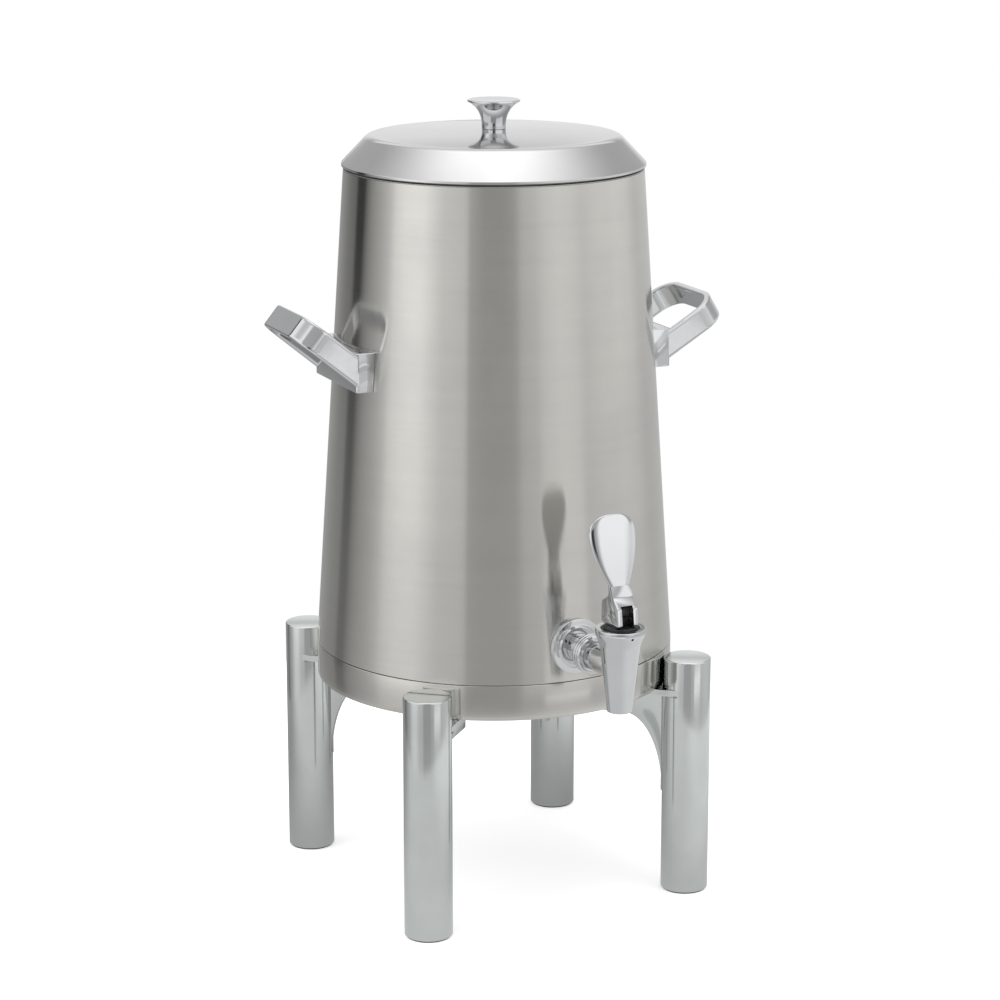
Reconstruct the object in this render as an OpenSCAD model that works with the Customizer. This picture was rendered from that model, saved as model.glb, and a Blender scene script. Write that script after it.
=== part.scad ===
// Free-standing insulated coffee urn with a lever tap, a lift-off lid and four tube legs.
// Millimetres, +Z up, the tap points to -Y. The feet stand on Z = 0 and the origin is the
// middle of the footprint of the whole urn, tap and handles included.

/* [Body] */
// Outer radius of the base ring, and of the shell at the seam
base_r = 144.3; // [132:0.1:158]
// Outer radius of the shell at the mouth
top_r = 119; // [108:0.1:128]
// Height of the tapered shell, from the seam to the mouth
shell_h = 383; // [330:1:440]
// Height of the base ring under the seam
ring_h = 28.5; // [24:0.5:40]
// Height of the underside of the base above the table
under_h = 172; // [150:1:210]
// Wall of the shell and of the base ring
shell_wall = 1.2; // [0.8:0.1:2]
// Wall of the liner that holds the coffee
liner_wall = 1; // [0.6:0.1:1.6]
// Insulating space between shell and liner
wall_gap = 6; // [5:0.5:9]
// Height of the liner's floor above the seam
floor_rise = 6; // [4:0.5:10]
// Visible groove between shell and base ring
seam_gap = 0.8; // [0.4:0.1:1.4]
// Height of the joining collar inside the seam
collar_h = 11; // [8:0.5:14]
// Thickness of the pressed base plate
plate_t = 2; // [1.5:0.1:3]

/* [Lid] */
// How far the lid's rim stands out over the shell
lid_overhang = 1.3; // [1:0.1:4]
// Height of the lid's upright rim
lid_rim_h = 1.8; // [0.8:0.1:3]
// Width of the sloping shoulder, seen from above
shoulder_run = 21; // [15:0.5:26]
// Height of the sloping shoulder
shoulder_h = 22.1; // [18:0.1:28]
// Crown of the lid's top
dome_h = 4; // [2:0.1:6]
// Wall of the lid's cover and pan
lid_wall = 1.2; // [0.8:0.1:2]
// Height of the lid's seal
seal_h = 1.6; // [1:0.1:2.5]
// How far the lid's pan reaches down into the mouth
plug_h = 12; // [8:0.5:16]
// Space between the lid's pan and the liner
plug_clear = 2.5; // [1.5:0.1:4]

/* [Knob] */
// Radius of the knob's flat top
knob_r = 20.8; // [17:0.1:25]
// Radius of the knob's neck
knob_neck_r = 9.5; // [8:0.1:12]
// Height of the knob
knob_h = 23; // [19:0.1:30]

/* [Legs] */
// Outer radius of each leg tube
leg_r = 19.05; // [15:0.05:24]
// Wall of each leg tube
leg_wall = 1.6; // [1.2:0.1:2.5]
// Height of each leg's top above the underside of the base
leg_rise = 24; // [10:0.5:28]
// Space between a leg and the base ring
leg_gap = 0.1; // [0.1:0.1:1]
// Height of each glide under its leg tube
glide_t = 1.2; // [1:0.1:4]

/* [Leg brackets] */
// Thickness of each bracket's flat plate
bracket_t = 5; // [4:0.5:7]
// Thickness of each bracket's upright web
web_t = 5; // [4:0.5:7]
// Radius at which the brackets start under the base
bracket_in_r = 80; // [70:1:90]
// Depth of the web at its inner end
web_drop = 22; // [14:1:30]
// Height of the curved corner of the web along the leg
web_curve_h = 65; // [40:1:80]
// Width of the curved corner of the web
web_curve_run = 32.4; // [20:0.2:38]

/* [Handles] */
// Turn of the pair of handles about the urn, off the square to the tap
handle_turn = 3; // [0:0.5:10]
// Outer width of each handle
handle_w = 90; // [80:1:100]
// Height of the middle of each handle's foot above the table
handle_z = 436.5; // [400:0.5:460]
// Height of each handle's foot
foot_h = 31; // [26:0.5:34]
// How far each foot stands out from the shell
foot_out = 6.8; // [6:0.2:12]
// Rise angle of the left handle's loop
loop_rise = 39.5; // [30:0.5:50]
// How much flatter the right handle's loop lies
right_droop = 8.5; // [0:0.5:12]
// Reach of the loop along its slope, from the foot's face
loop_reach = 55.5; // [48:0.5:62]
// Width of the handle's strap
strap_w = 19.5; // [16:0.5:22]
// Thickness of the handle's strap
strap_t = 5.3; // [4:0.1:7]
// Outer corner radius of the handle's strap
strap_corner_r = 22; // [12:0.5:28]

/* [Tap body] */
// Height of the tap's shank above the seam
shank_rise = 27.7; // [26:0.1:40]
// Distance of the tap's upright axis from the shell
tap_out = 69.6; // [66:0.2:84]
// Radius of the cup's rim
cup_rim_r = 19.3; // [18.4:0.1:22]
// Radius of the cup under its flare
cup_neck_r = 15.4; // [15:0.1:18]
// Radius of the spout's mouth
spout_r = 9.8; // [9.2:0.1:12]
// Height of the cup's rim above the shank's axis
cup_up = 32.8; // [30:0.2:36]
// Height of the cup's flare
flare_h = 15.3; // [12:0.1:18]
// Depth of the spout's mouth under the shank's axis
spout_down = 33.2; // [28:0.2:40]
// Radius of the spout's outlet bore
outlet_r = 7.6; // [6:0.1:8]
// Radius of the valve chamber
chamber_r = 9.5; // [9:0.1:10]
// Radius of the flow passage through the shank
passage_r = 5.5; // [4:0.1:6]

/* [Tap shank] */
// Outer radius of the shank
shank_r = 11; // [10:0.1:12.5]
// Radius of the round flange on the shell
flange_r = 22; // [19:0.2:26]
// Thickness of the round flange
flange_t = 5; // [4:0.2:7]
// Radius of the coupling nut
coupling_r = 15.5; // [14:0.1:18]
// Length of the coupling nut
coupling_len = 10; // [8:0.5:12]
// Distance between the flange and the coupling nut
coupling_out = 21; // [18:0.5:24]
// Width across the flats of the nut inside the liner
nut_flats = 32; // [28:0.5:36]
// Thickness of the nut inside the liner
nut_t = 7; // [5:0.5:9]

/* [Valve] */
// Radius of the valve's stem
stem_r = 3.2; // [2.6:0.1:3.6]
// Radius of the seat cup
seat_r = 8.4; // [7.9:0.1:8.7]
// Height of the seat cup
seat_h = 7; // [6:0.2:8]
// Depth of the valve seat under the shank's axis
seat_drop = 14; // [13.5:0.1:15]
// Mean radius of the spring
spring_r = 5.3; // [5:0.1:5.8]
// Wire radius of the spring
wire_r = 0.7; // [0.4:0.1:0.8]
// Radius of the bonnet's raised face
bonnet_r = 13; // [12:0.1:15]
// Height of the bonnet's face above the cup's rim
bonnet_up = 1.6; // [1:0.1:3]

/* [Lever] */
// Width of the lever's yoke
yoke_w = 16.8; // [16:0.1:19]
// Width of the slot in the yoke
slot_w = 9.8; // [8:0.1:11]
// Radius of the pivot pin
pin_r = 2; // [1.6:0.1:2.4]
// Height of the pivot pin above the yoke's flat heel
pin_up = 10.8; // [10:0.1:12]
// Lift of the valve per radian of lever tilt
cam_rate = 5; // [3:0.1:6]
// Half the paddle's width at its broadest
paddle_w = 19.6; // [16:0.1:24]
// Height of the paddle
paddle_h = 55.5; // [45:0.5:65]
// Thickness of the paddle
paddle_t = 3.6; // [2.8:0.1:5]
// Lean of the paddle towards the urn
paddle_lean = 14; // [5:0.5:20]
// Radius of the paddle's crown, across its width
paddle_crown_r = 58; // [45:1:90]

/* [Hidden] */
$fn = 96;

// Fits shared by the whole part
cut_over = 1;
seat_clear = 0.1;
bore_clear = 0.05;
hole_clear = 0.3;
cam_clear = 0.2;
edge_r = 1;
core_sides = 360;

// Heights of the body
seam_z = under_h + ring_h;
mouth_z = seam_z + shell_h;
shell_low_z = seam_z + seam_gap / 2;
ring_top_z = seam_z - seam_gap / 2;
floor_z = seam_z + floor_rise;
floor_dish = 3;
flange_lip = 1;
rim_z = mouth_z + flange_lip;
liner_low_r_in = 30;

// Fasteners of the base
screw_r = 3;
screw_head_r = 5.2;
screw_head_h = 3.2;
screw_side = 11;
screw_inset = 32.3;
screw_ring_r = base_r - screw_inset;
nut_h = 5;
nut_r = 5.8;
base_bend_r = 4;

// Small cup under the middle of the base
cup_top_r = 24;
cup_low_r = 20;
cup_flat_r = 13;
cup_depth = 41.5;
cup_wall = 1.5;
cup_round = 7;

// Lid heights
lid_low_z = rim_z + seal_h;
lid_rim_r = top_r + lid_overhang;
lid_edge_r = lid_rim_r - shoulder_run;
lid_edge_z = lid_low_z + lid_rim_h + shoulder_h;
lid_top_z = lid_edge_z + dome_h;
shoulder_angle = atan(shoulder_h / shoulder_run);
lid_edge_round = 10;
lid_edge_steps = 6;
lid_dome_edge_r = lid_edge_r - lid_edge_round * tan(shoulder_angle / 2);
lid_dome_r = (lid_dome_edge_r * lid_dome_edge_r + dome_h * dome_h) / (2 * dome_h);
rim_fold_share = tan(45 - shoulder_angle / 2);
seal_out = 1.4;
knob_rim = 1.2;
knob_dish = 0.6;
knob_dish_share = 0.8;
knob_lip = 1.7;
knob_neck_top_share = 0.13;
knob_flare_power = 2.2;
knob_flare_steps = 8;
knob_screw_r = 2.5;
knob_screw_head_r = 6;
knob_screw_head_h = 2.5;
knob_screw_grip = 12;

// Legs
leg_ring_r = base_r + leg_gap + leg_r;
leg_top_z = under_h + leg_rise;
leg_edge = 0.8;
leg_lid_t = 2;
glide_plug_h = 14;
glide_edge = 0.8;
glide_inset = 1.1;

// Handles
handle_low_z = handle_z - foot_h / 2;
foot_face = shell_r_at(handle_z) + foot_out;
foot_corner_r = 3;
foot_over = 0.4;
foot_lap = 2;
loop_mid_s = foot_face;
loop_up = 2.5;
loop_mid_z = handle_z + loop_up;
loop_root = 22;
handle_screw_r = 2.5;
handle_screw_head_r = 4.5;
handle_screw_head_h = 2.8;
handle_screw_angle = 11;
handle_screw_depth = 5;

// Tap heights and places
shank_z = seam_z + shank_rise;
shell_at_tap = shell_r_at(shank_z);
tap_reach = shell_at_tap + tap_out;
cup_top_z = shank_z + cup_up;
cup_neck_z = cup_top_z - flare_h;
spout_z = shank_z - spout_down;
seat_z = shank_z - seat_drop;
seat_wall = 3.6;
seat_hole_r = 5.6;
cup_lip = 1.4;
mouth_r = cup_rim_r - 2 * cup_lip;
mouth_deep = 5;
thread_r = 12.6;
thread_len = 9;
vent_r = 1;
vent_drop = 5;
nut_side = 2 / sqrt(3);
washer_t = 2;
washer_over = 2;
shank_in = 8;
coupling_y = shell_at_tap + coupling_out;
joint_y = coupling_y + coupling_len / 2;
coupling_edge = 1.2;
flange_step_share = 0.72;
flange_step_t_share = 0.45;

// Valve
bonnet_z = cup_top_z + bonnet_up;
bonnet_flange_h = 4;
pin_z = bonnet_z + cam_clear + pin_up;
head_r = 5.8;
head_gap = 0.2;
head_base_half = 4;
spring_low_z = seat_z + seat_h + 1.8;
spring_high_z = cup_top_z - mouth_deep - thread_len;
spring_turns = 5;
spring_sides = 6;
spring_rings = 16;
spring_clear = 0.1;
spring_seat_t = 1.6;
seat_lip = 1;

// Lever
slot_round = head_r + 0.4;
cam_open = 35;
cam_steps = 8;
yoke_back = 14.4;
yoke_front = 12.2;
yoke_back_up = 6;
yoke_top_up = 12.4;
yoke_top_back = 2.4;
neck_up = 20;
neck_back = 4.6;
neck_front = 0.6;
neck_low_front = 10.6;
neck_low_up = 4.2;
paddle_foot_in = 0.4;
paddle_foot_w = yoke_w / 2 - paddle_foot_in;
paddle_broad_share = 0.72;
paddle_power = 2.4;
paddle_steps = 14;

// The urn's axis lies behind the middle of the footprint, because the tap stands out in front
front_reach = tap_reach + cup_rim_r;
rear_reach = max(base_r, leg_ring_r * cos(45) + leg_r);
axis_y = (front_reach - rear_reach) / 2;

// Outer radius of the tapered shell at a height
function shell_r_at(z) = base_r + (top_r - base_r) * (z - seam_z) / shell_h;
// Outer radius of the liner, and the inner one, at a height
function liner_r_at(z) = shell_r_at(z) - shell_wall - wall_gap;
function bore_r_at(z) = liner_r_at(z) - liner_wall;

module at_axis() {
    translate([0, axis_y, 0]) children();
}

// Full revolve of an outline in radius and height
module spin(points) {
    rotate_extrude() polygon(points);
}

// Solid inside the shell's outer face, grown by a clearance, between two heights
module shell_core(grow, z0, z1) {
    rotate_extrude($fn = core_sides) polygon([
        [0, z0], [shell_r_at(z0) + grow, z0],
        [shell_r_at(z1) + grow, z1], [0, z1]
    ]);
}

// Round bar along Y between two distances in front of the urn's axis
module bar_y(r, near, far, z) {
    translate([0, -near, z]) rotate([90, 0, 0]) cylinder(r = r, h = far - near);
}

// Six-sided bar along Y, by its width across the flats
module hex_y(flats, near, far, z) {
    translate([0, -near, z]) rotate([90, 0, 0]) cylinder(r = flats / 2 * nut_side, h = far - near, $fn = 6);
}

// ---- Body

module outer_shell() {
    hole = shank_r + hole_clear;
    color("silver") at_axis() difference() {
        spin([
            [shell_r_at(shell_low_z) - shell_wall, shell_low_z], [shell_r_at(shell_low_z), shell_low_z],
            [shell_r_at(mouth_z), mouth_z], [shell_r_at(mouth_z) - shell_wall, mouth_z]
        ]);
        bar_y(hole, shell_at_tap - wall_gap, shell_at_tap + wall_gap, shank_z);
        for (side = [-1, 1]) on_handle(side) handle_screw_places()
            translate([shell_r_at(handle_z) - wall_gap, 0, 0]) rotate([0, 90, 0])
                cylinder(r = handle_screw_r + hole_clear, h = 2 * wall_gap);
    }
}

module inner_liner() {
    low_r = liner_r_at(floor_z);
    hole = shank_r + hole_clear;
    color("gainsboro") at_axis() difference() {
        spin([
            [0, floor_z - floor_dish], [liner_low_r_in, floor_z - floor_dish],
            [low_r, floor_z], [liner_r_at(mouth_z), mouth_z], [top_r, mouth_z], [top_r, rim_z],
            [bore_r_at(rim_z), rim_z], [bore_r_at(floor_z), floor_z + liner_wall],
            [liner_low_r_in, floor_z - floor_dish + liner_wall], [0, floor_z - floor_dish + liner_wall]
        ]);
        bar_y(hole, bore_r_at(shank_z) - wall_gap, shell_at_tap, shank_z);
    }
}

module base_ring() {
    in_r = base_r - shell_wall;
    collar_low_z = ring_top_z - collar_h;
    collar_high_z = seam_z + collar_h;
    collar_r = shell_r_at(collar_high_z) - shell_wall - seat_clear;
    color("darkgray") at_axis() spin([
        [in_r, under_h], [base_r, under_h], [base_r, ring_top_z],
        [collar_r, ring_top_z], [collar_r, collar_high_z], [collar_r - shell_wall, collar_high_z],
        [collar_r - shell_wall, collar_low_z], [in_r, collar_low_z - shell_wall]
    ]);
}

// Pressed plate that closes the base, with an upturned rim inside the ring
module base_plate() {
    out_r = base_r - shell_wall - seat_clear;
    rim_h = ring_h / 3;
    color("gray") at_axis() difference() {
        spin([
            [0, under_h], [out_r - base_bend_r, under_h], [out_r, under_h + base_bend_r],
            [out_r, under_h + rim_h], [out_r - plate_t, under_h + rim_h],
            [out_r - plate_t, under_h + base_bend_r + plate_t / 2],
            [out_r - base_bend_r - plate_t / 2, under_h + plate_t], [0, under_h + plate_t]
        ]);
        each_leg() bracket_screw_places() translate([0, 0, under_h - cut_over])
            cylinder(r = screw_r + hole_clear, h = plate_t + 2 * cut_over);
        translate([0, 0, under_h - cut_over])
            cylinder(r = screw_r + hole_clear, h = plate_t + 2 * cut_over);
    }
}

module base_cup() {
    low = under_h - cup_depth;
    color("silver") at_axis() difference() {
        spin(concat(
            [[0, low], [cup_flat_r, low]],
            [for (i = [0:4]) let (a = 90 * i / 4) [
                cup_flat_r + (cup_low_r - cup_flat_r) * sin(a), low + cup_round * (1 - cos(a))
            ]],
            [[cup_top_r, under_h], [cup_top_r - cup_wall, under_h],
             [cup_low_r - cup_wall, low + cup_round], [cup_flat_r - cup_wall, low + cup_wall],
             [0, low + cup_wall]]
        ));
        translate([0, 0, low - cut_over]) cylinder(r = screw_r + hole_clear, h = cup_wall + 2 * cut_over);
    }
}

module base_cup_screw() {
    low = under_h - cup_depth;
    color("dimgray") at_axis() {
        translate([0, 0, low + cup_wall]) cylinder(r = screw_head_r, h = screw_head_h);
        translate([0, 0, low + cup_wall]) cylinder(r = screw_r, h = cup_depth - cup_wall + plate_t + nut_h);
        translate([0, 0, under_h + plate_t]) cylinder(r = nut_r, h = nut_h, $fn = 6);
    }
}

// ---- Legs and their brackets

// Child with +X pointing out through the leg on one side of front and rear
module on_leg(right, front) {
    angle = front ? (right ? 315 : 225) : (right ? 45 : 135);
    rotate([0, 0, angle]) children();
}

module each_leg() {
    for (right = [false, true], front = [false, true]) on_leg(right, front) children();
}

module leg(right, front) {
    bore = leg_r - leg_wall;
    color("lightgray") at_axis() on_leg(right, front) translate([leg_ring_r, 0, 0]) spin([
        [bore, glide_t], [leg_r - leg_edge, glide_t], [leg_r, glide_t + leg_edge],
        [leg_r, leg_top_z - leg_edge], [leg_r - leg_edge, leg_top_z], [0, leg_top_z],
        [0, leg_top_z - leg_lid_t], [bore, leg_top_z - leg_lid_t]
    ]);
}

module glide(right, front) {
    plug = leg_r - leg_wall - seat_clear;
    face = leg_r - glide_inset;
    color("black") at_axis() on_leg(right, front) translate([leg_ring_r, 0, 0]) spin([
        [0, 0], [face - glide_edge, 0], [face, glide_edge], [face, glide_t], [plug, glide_t],
        [plug, glide_t + glide_plug_h], [0, glide_t + glide_plug_h]
    ]);
}

// Two screws of a bracket, one on each side of its web
module bracket_screw_places() {
    for (side = [-1, 1]) translate([screw_ring_r, side * screw_side, 0]) children();
}

// Outline of the web, in radius and height: a quarter ellipse leaves the leg and runs in under the base
function web_outline() =
    let (
        out = leg_ring_r, top = under_h - bracket_t, low = top - web_drop,
        edge = leg_ring_r - leg_r, start = edge - web_curve_run
    )
    concat(
        [[bracket_in_r, top], [bracket_in_r, low], [start, low]],
        [for (i = [1:12]) let (a = 90 * i / 12) [
            start + web_curve_run * sin(a), low - web_curve_h * (1 - cos(a))
        ]],
        [[out, low - web_curve_h], [out, top]]
    );

module bracket(right, front) {
    color("lightgray") at_axis() on_leg(right, front) difference() {
        union() {
            translate([bracket_in_r, -leg_r, under_h - bracket_t])
                cube([leg_ring_r - bracket_in_r, 2 * leg_r, bracket_t]);
            translate([0, web_t / 2, 0]) rotate([90, 0, 0]) linear_extrude(height = web_t)
                polygon(web_outline());
        }
        translate([leg_ring_r, 0, 0]) cylinder(r = leg_r + seat_clear, h = leg_top_z);
        bracket_screw_places() translate([0, 0, under_h - bracket_t - cut_over])
            cylinder(r = screw_r + hole_clear, h = bracket_t + 2 * cut_over);
    }
}

module bracket_screws() {
    grip = bracket_t + plate_t + nut_h;
    color("dimgray") at_axis() each_leg() bracket_screw_places() {
        translate([0, 0, under_h - bracket_t - screw_head_h])
            cylinder(r = screw_head_r, h = screw_head_h);
        translate([0, 0, under_h - bracket_t - screw_head_h])
            cylinder(r = screw_r, h = screw_head_h + grip + cut_over);
    }
}

module bracket_nuts() {
    color("dimgray") at_axis() each_leg() bracket_screw_places() translate([0, 0, under_h + plate_t])
        difference() {
            cylinder(r = nut_r, h = nut_h, $fn = 6);
            translate([0, 0, -cut_over]) cylinder(r = screw_r + bore_clear, h = nut_h + 2 * cut_over);
        }
}

// ---- Handles

// Child with +X pointing out through one handle
module on_handle(side) {
    rotate([0, 0, (side > 0 ? 0 : 180) - handle_turn]) children();
}

// Two radial screws behind each handle's foot
module handle_screw_places() {
    for (turn = [-1, 1]) rotate([0, 0, turn * handle_screw_angle]) translate([0, 0, handle_z]) children();
}

// Square with its two outer corners rounded, from x0 to x1 and w wide
module round_end(x0, x1, w, r) {
    translate([x0, -w / 2]) square([x1 - x0 - r, w]);
    translate([x0, -w / 2 + r]) square([x1 - x0, w - 2 * r]);
    for (side = [-1, 1]) translate([x1 - r, side * (w / 2 - r)]) circle(r = r);
}

// Flat strap bent round in one sloping plane, open towards the urn
module handle_loop(side) {
    rise = side > 0 ? loop_rise - right_droop : loop_rise;
    translate([loop_mid_s, 0, loop_mid_z]) rotate([0, -rise, 0])
        linear_extrude(height = strap_w, center = true) difference() {
            round_end(-loop_root, loop_reach, handle_w, strap_corner_r);
            round_end(-loop_root - cut_over, loop_reach - strap_t, handle_w - 2 * strap_t,
                      strap_corner_r - strap_t);
        }
}

// Foot of a handle, a little wider than the strap, with its back fitted to the shell
module handle_foot() {
    difference() {
        translate([0, 0, handle_low_z]) linear_extrude(height = foot_h)
            round_end(foot_face / 2, foot_face, handle_w + 2 * foot_over, foot_corner_r);
        shell_core(seat_clear, handle_low_z - foot_h, handle_low_z + 2 * foot_h);
        handle_screw_places() translate([shell_r_at(handle_z) - cut_over, 0, 0]) rotate([0, 90, 0])
            cylinder(r = handle_screw_r + bore_clear, h = handle_screw_depth + cut_over + hole_clear);
    }
}

module handle(side) {
    color("white") at_axis() on_handle(side) {
        handle_foot();
        intersection() {
            handle_loop(side);
            translate([foot_face - foot_lap, -handle_w, handle_low_z])
                cube([2 * loop_reach, 2 * handle_w, foot_h + 2 * loop_reach]);
        }
    }
}

module handle_screws(side) {
    in_r = shell_r_at(handle_z) - shell_wall - hole_clear;
    color("dimgray") at_axis() on_handle(side) handle_screw_places() {
        translate([in_r - handle_screw_head_h, 0, 0]) rotate([0, 90, 0])
            cylinder(r = handle_screw_head_r, h = handle_screw_head_h);
        translate([in_r - handle_screw_head_h, 0, 0]) rotate([0, 90, 0])
            cylinder(r = handle_screw_r, h = handle_screw_head_h + hole_clear + shell_wall + handle_screw_depth);
    }
}

// ---- Tap

module at_tap() {
    translate([0, axis_y - tap_reach, 0]) children();
}

module tap_flange() {
    step_r = flange_r * flange_step_share;
    step_y = shell_at_tap + flange_t * flange_step_t_share;
    face_y = shell_at_tap + flange_t;
    color("silver") at_axis() difference() {
        union() {
            bar_y(flange_r, shell_at_tap - flange_t, step_y, shank_z);
            translate([0, -step_y, shank_z]) rotate([90, 0, 0])
                cylinder(r1 = flange_r, r2 = step_r, h = face_y - step_y);
        }
        shell_core(seat_clear, shank_z - 2 * flange_r, shank_z + 2 * flange_r);
        bar_y(shank_r + bore_clear, 0, face_y + cut_over, shank_z);
    }
}

module tap_shank() {
    inner = bore_r_at(shank_z) - washer_t - nut_t - shank_in;
    color("lightgray") at_axis() difference() {
        bar_y(shank_r, inner, joint_y, shank_z);
        bar_y(passage_r, inner - cut_over, joint_y + cut_over, shank_z);
    }
}

// Soft washer between the liner's curved wall and the flat nut
module shank_washer() {
    face = bore_r_at(shank_z) - washer_t;
    span = nut_flats / 2 - washer_over;
    color("white") at_axis() difference() {
        intersection() {
            bar_y(span, face, bore_r_at(shank_z) + washer_t, shank_z);
            rotate_extrude($fn = core_sides) polygon([
                [0, shank_z - nut_flats], [bore_r_at(shank_z - nut_flats) - seat_clear, shank_z - nut_flats],
                [bore_r_at(shank_z + nut_flats) - seat_clear, shank_z + nut_flats], [0, shank_z + nut_flats]
            ]);
        }
        bar_y(shank_r + bore_clear, 0, shell_at_tap, shank_z);
    }
}

module shank_nut() {
    face = bore_r_at(shank_z) - washer_t;
    color("darkgray") at_axis() difference() {
        hex_y(nut_flats, face - nut_t, face, shank_z);
        bar_y(shank_r + bore_clear, 0, shell_at_tap, shank_z);
    }
}

module tap_coupling() {
    color("silver") at_axis() difference() {
        translate([0, -coupling_y, shank_z]) rotate([90, 0, 0]) spin([
            [0, 0], [coupling_r - coupling_edge, 0], [coupling_r, coupling_edge],
            [coupling_r, coupling_len - coupling_edge], [coupling_r - coupling_edge, coupling_len],
            [0, coupling_len]
        ]);
        bar_y(shank_r + bore_clear, 0, tap_reach, shank_z);
    }
}

// Cup with its spout, valve seat and side inlet
module tap_body() {
    stub_y = joint_y + seat_clear;
    color("silver") difference() {
        union() {
            at_tap() spin([
                [0, spout_z], [spout_r, spout_z], [cup_neck_r, cup_neck_z],
                [cup_rim_r, cup_top_z - cup_lip], [cup_rim_r, cup_top_z], [0, cup_top_z]
            ]);
            at_axis() bar_y(shank_r, stub_y, tap_reach, shank_z);
        }
        at_tap() {
            translate([0, 0, cup_top_z - mouth_deep]) cylinder(r = mouth_r, h = mouth_deep + cut_over);
            translate([0, 0, cup_top_z - mouth_deep - thread_len])
                cylinder(r = thread_r, h = mouth_deep + thread_len);
            translate([0, 0, seat_z]) cylinder(r = chamber_r, h = cup_top_z - seat_z);
            translate([0, 0, seat_z - seat_wall - cut_over]) cylinder(r = seat_hole_r, h = seat_wall + 2 * cut_over);
            translate([0, 0, spout_z - cut_over]) cylinder(r = outlet_r, h = seat_z - seat_wall - spout_z + cut_over);
            translate([0, 0, cup_top_z - vent_drop]) rotate([90, 0, 0]) cylinder(r = vent_r, h = 2 * cup_rim_r);
        }
        at_axis() bar_y(passage_r, stub_y - cut_over, tap_reach, shank_z);
    }
}

module tap_bonnet() {
    seat = cup_top_z - mouth_deep;
    low = seat - thread_len;
    color("black") at_tap() difference() {
        spin([
            [0, low], [thread_r - seat_clear, low], [thread_r - seat_clear, seat],
            [mouth_r - seat_clear, seat], [mouth_r - seat_clear, seat + bonnet_flange_h],
            [bonnet_r, seat + bonnet_flange_h], [bonnet_r, bonnet_z - edge_r], [bonnet_r - edge_r, bonnet_z],
            [0, bonnet_z]
        ]);
        translate([0, 0, low - cut_over]) cylinder(r = stem_r + bore_clear, h = bonnet_z - low + 2 * cut_over);
    }
}

// ---- Valve that lifts off its seat

module seat_cup() {
    color("ghostwhite") at_tap() difference() {
        spin([
            [0, seat_z], [seat_r - seat_lip, seat_z], [seat_r, seat_z + seat_lip],
            [seat_r - seat_lip, seat_z + seat_h], [0, seat_z + seat_h]
        ]);
        translate([0, 0, seat_z + seat_h / 2]) cylinder(r = stem_r + bore_clear, h = seat_h);
    }
}

// Stem with a collar for the spring and a round head for the lever's pin
module valve_stem() {
    low = seat_z + seat_h / 2 + bore_clear;
    neck_top = bonnet_z + head_gap;
    width = slot_w - 2 * head_gap;
    color("black") at_tap() difference() {
        union() {
            translate([0, 0, low]) cylinder(r = stem_r, h = pin_z - low);
            translate([0, 0, seat_z + seat_h]) cylinder(r = seat_r - seat_lip, h = spring_seat_t);
            translate([-width / 2, -head_base_half, neck_top])
                cube([width, 2 * head_base_half, pin_z - neck_top]);
            translate([-width / 2, 0, pin_z]) rotate([0, 90, 0]) cylinder(r = head_r, h = width);
        }
        translate([-slot_w, 0, pin_z]) rotate([0, 90, 0]) cylinder(r = pin_r + bore_clear, h = 2 * slot_w);
    }
}

// Points of one ring of the spring's wire, and the faces that join the rings into one tube
function spring_ring(turn, low, high) =
    let (a = 360 * spring_turns * turn, z = low + (high - low) * turn)
    [for (k = [0:spring_sides - 1]) let (b = 360 * k / spring_sides)
        [(spring_r + wire_r * cos(b)) * cos(a), (spring_r + wire_r * cos(b)) * sin(a), z + wire_r * sin(b)]];

module valve_spring() {
    low = spring_low_z + wire_r;
    high = spring_high_z - wire_r - spring_clear;
    rings = spring_turns * spring_rings;
    points = [for (i = [0:rings]) each spring_ring(i / rings, low, high)];
    side_faces = [for (i = [0:rings - 1], k = [0:spring_sides - 1])
        let (a = i * spring_sides + k, b = i * spring_sides + (k + 1) % spring_sides)
        each [[a, a + spring_sides, b], [b, a + spring_sides, b + spring_sides]]];
    ends = [
        [for (k = [0:spring_sides - 1]) k],
        [for (k = [0:spring_sides - 1]) (rings + 1) * spring_sides - 1 - k]
    ];
    color("gray") at_tap() polyhedron(points = points, faces = concat(side_faces, ends));
}

// ---- Lever

// Heel of the yoke, seen from the side: an involute lifts the pin in step with the tilt
function cam_point(a) =
    let (reach = pin_up + cam_rate * a * PI / 180)
    [-reach * sin(a) - cam_rate * cos(a), -reach * cos(a) + cam_rate * sin(a)];

function yoke_outline() = concat(
    [for (i = [0:cam_steps]) cam_point(cam_open * (cam_steps - i) / cam_steps)],
    [
        [yoke_back - edge_r, -pin_up], [yoke_back, -pin_up + edge_r], [yoke_back, yoke_back_up],
        [yoke_top_back, yoke_top_up], [neck_back, neck_up], [-neck_front, neck_up],
        [-neck_low_front, neck_low_up], [-yoke_front, cam_point(cam_open)[1] + edge_r]
    ]
);

// Half-width of the paddle at a share of its height
function paddle_half(s) = s < paddle_broad_share
    ? paddle_foot_w + (paddle_w - paddle_foot_w) * sin(90 * s / paddle_broad_share)
    : paddle_w * pow(max(0, 1 - pow((s - paddle_broad_share) / (1 - paddle_broad_share), paddle_power)),
                     1 / paddle_power);

function paddle_outline() =
    let (
        lower = [for (i = [0:paddle_steps]) paddle_broad_share * i / paddle_steps],
        upper = [for (i = [1:paddle_steps]) paddle_broad_share + (1 - paddle_broad_share) * sin(90 * i / paddle_steps)],
        shares = concat(lower, upper),
        last = len(shares) - 1
    )
    concat(
        [for (s = shares) [paddle_half(s), s * paddle_h]],
        [for (i = [1:last]) let (s = shares[last - i]) [-paddle_half(s), s * paddle_h]]
    );

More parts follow.
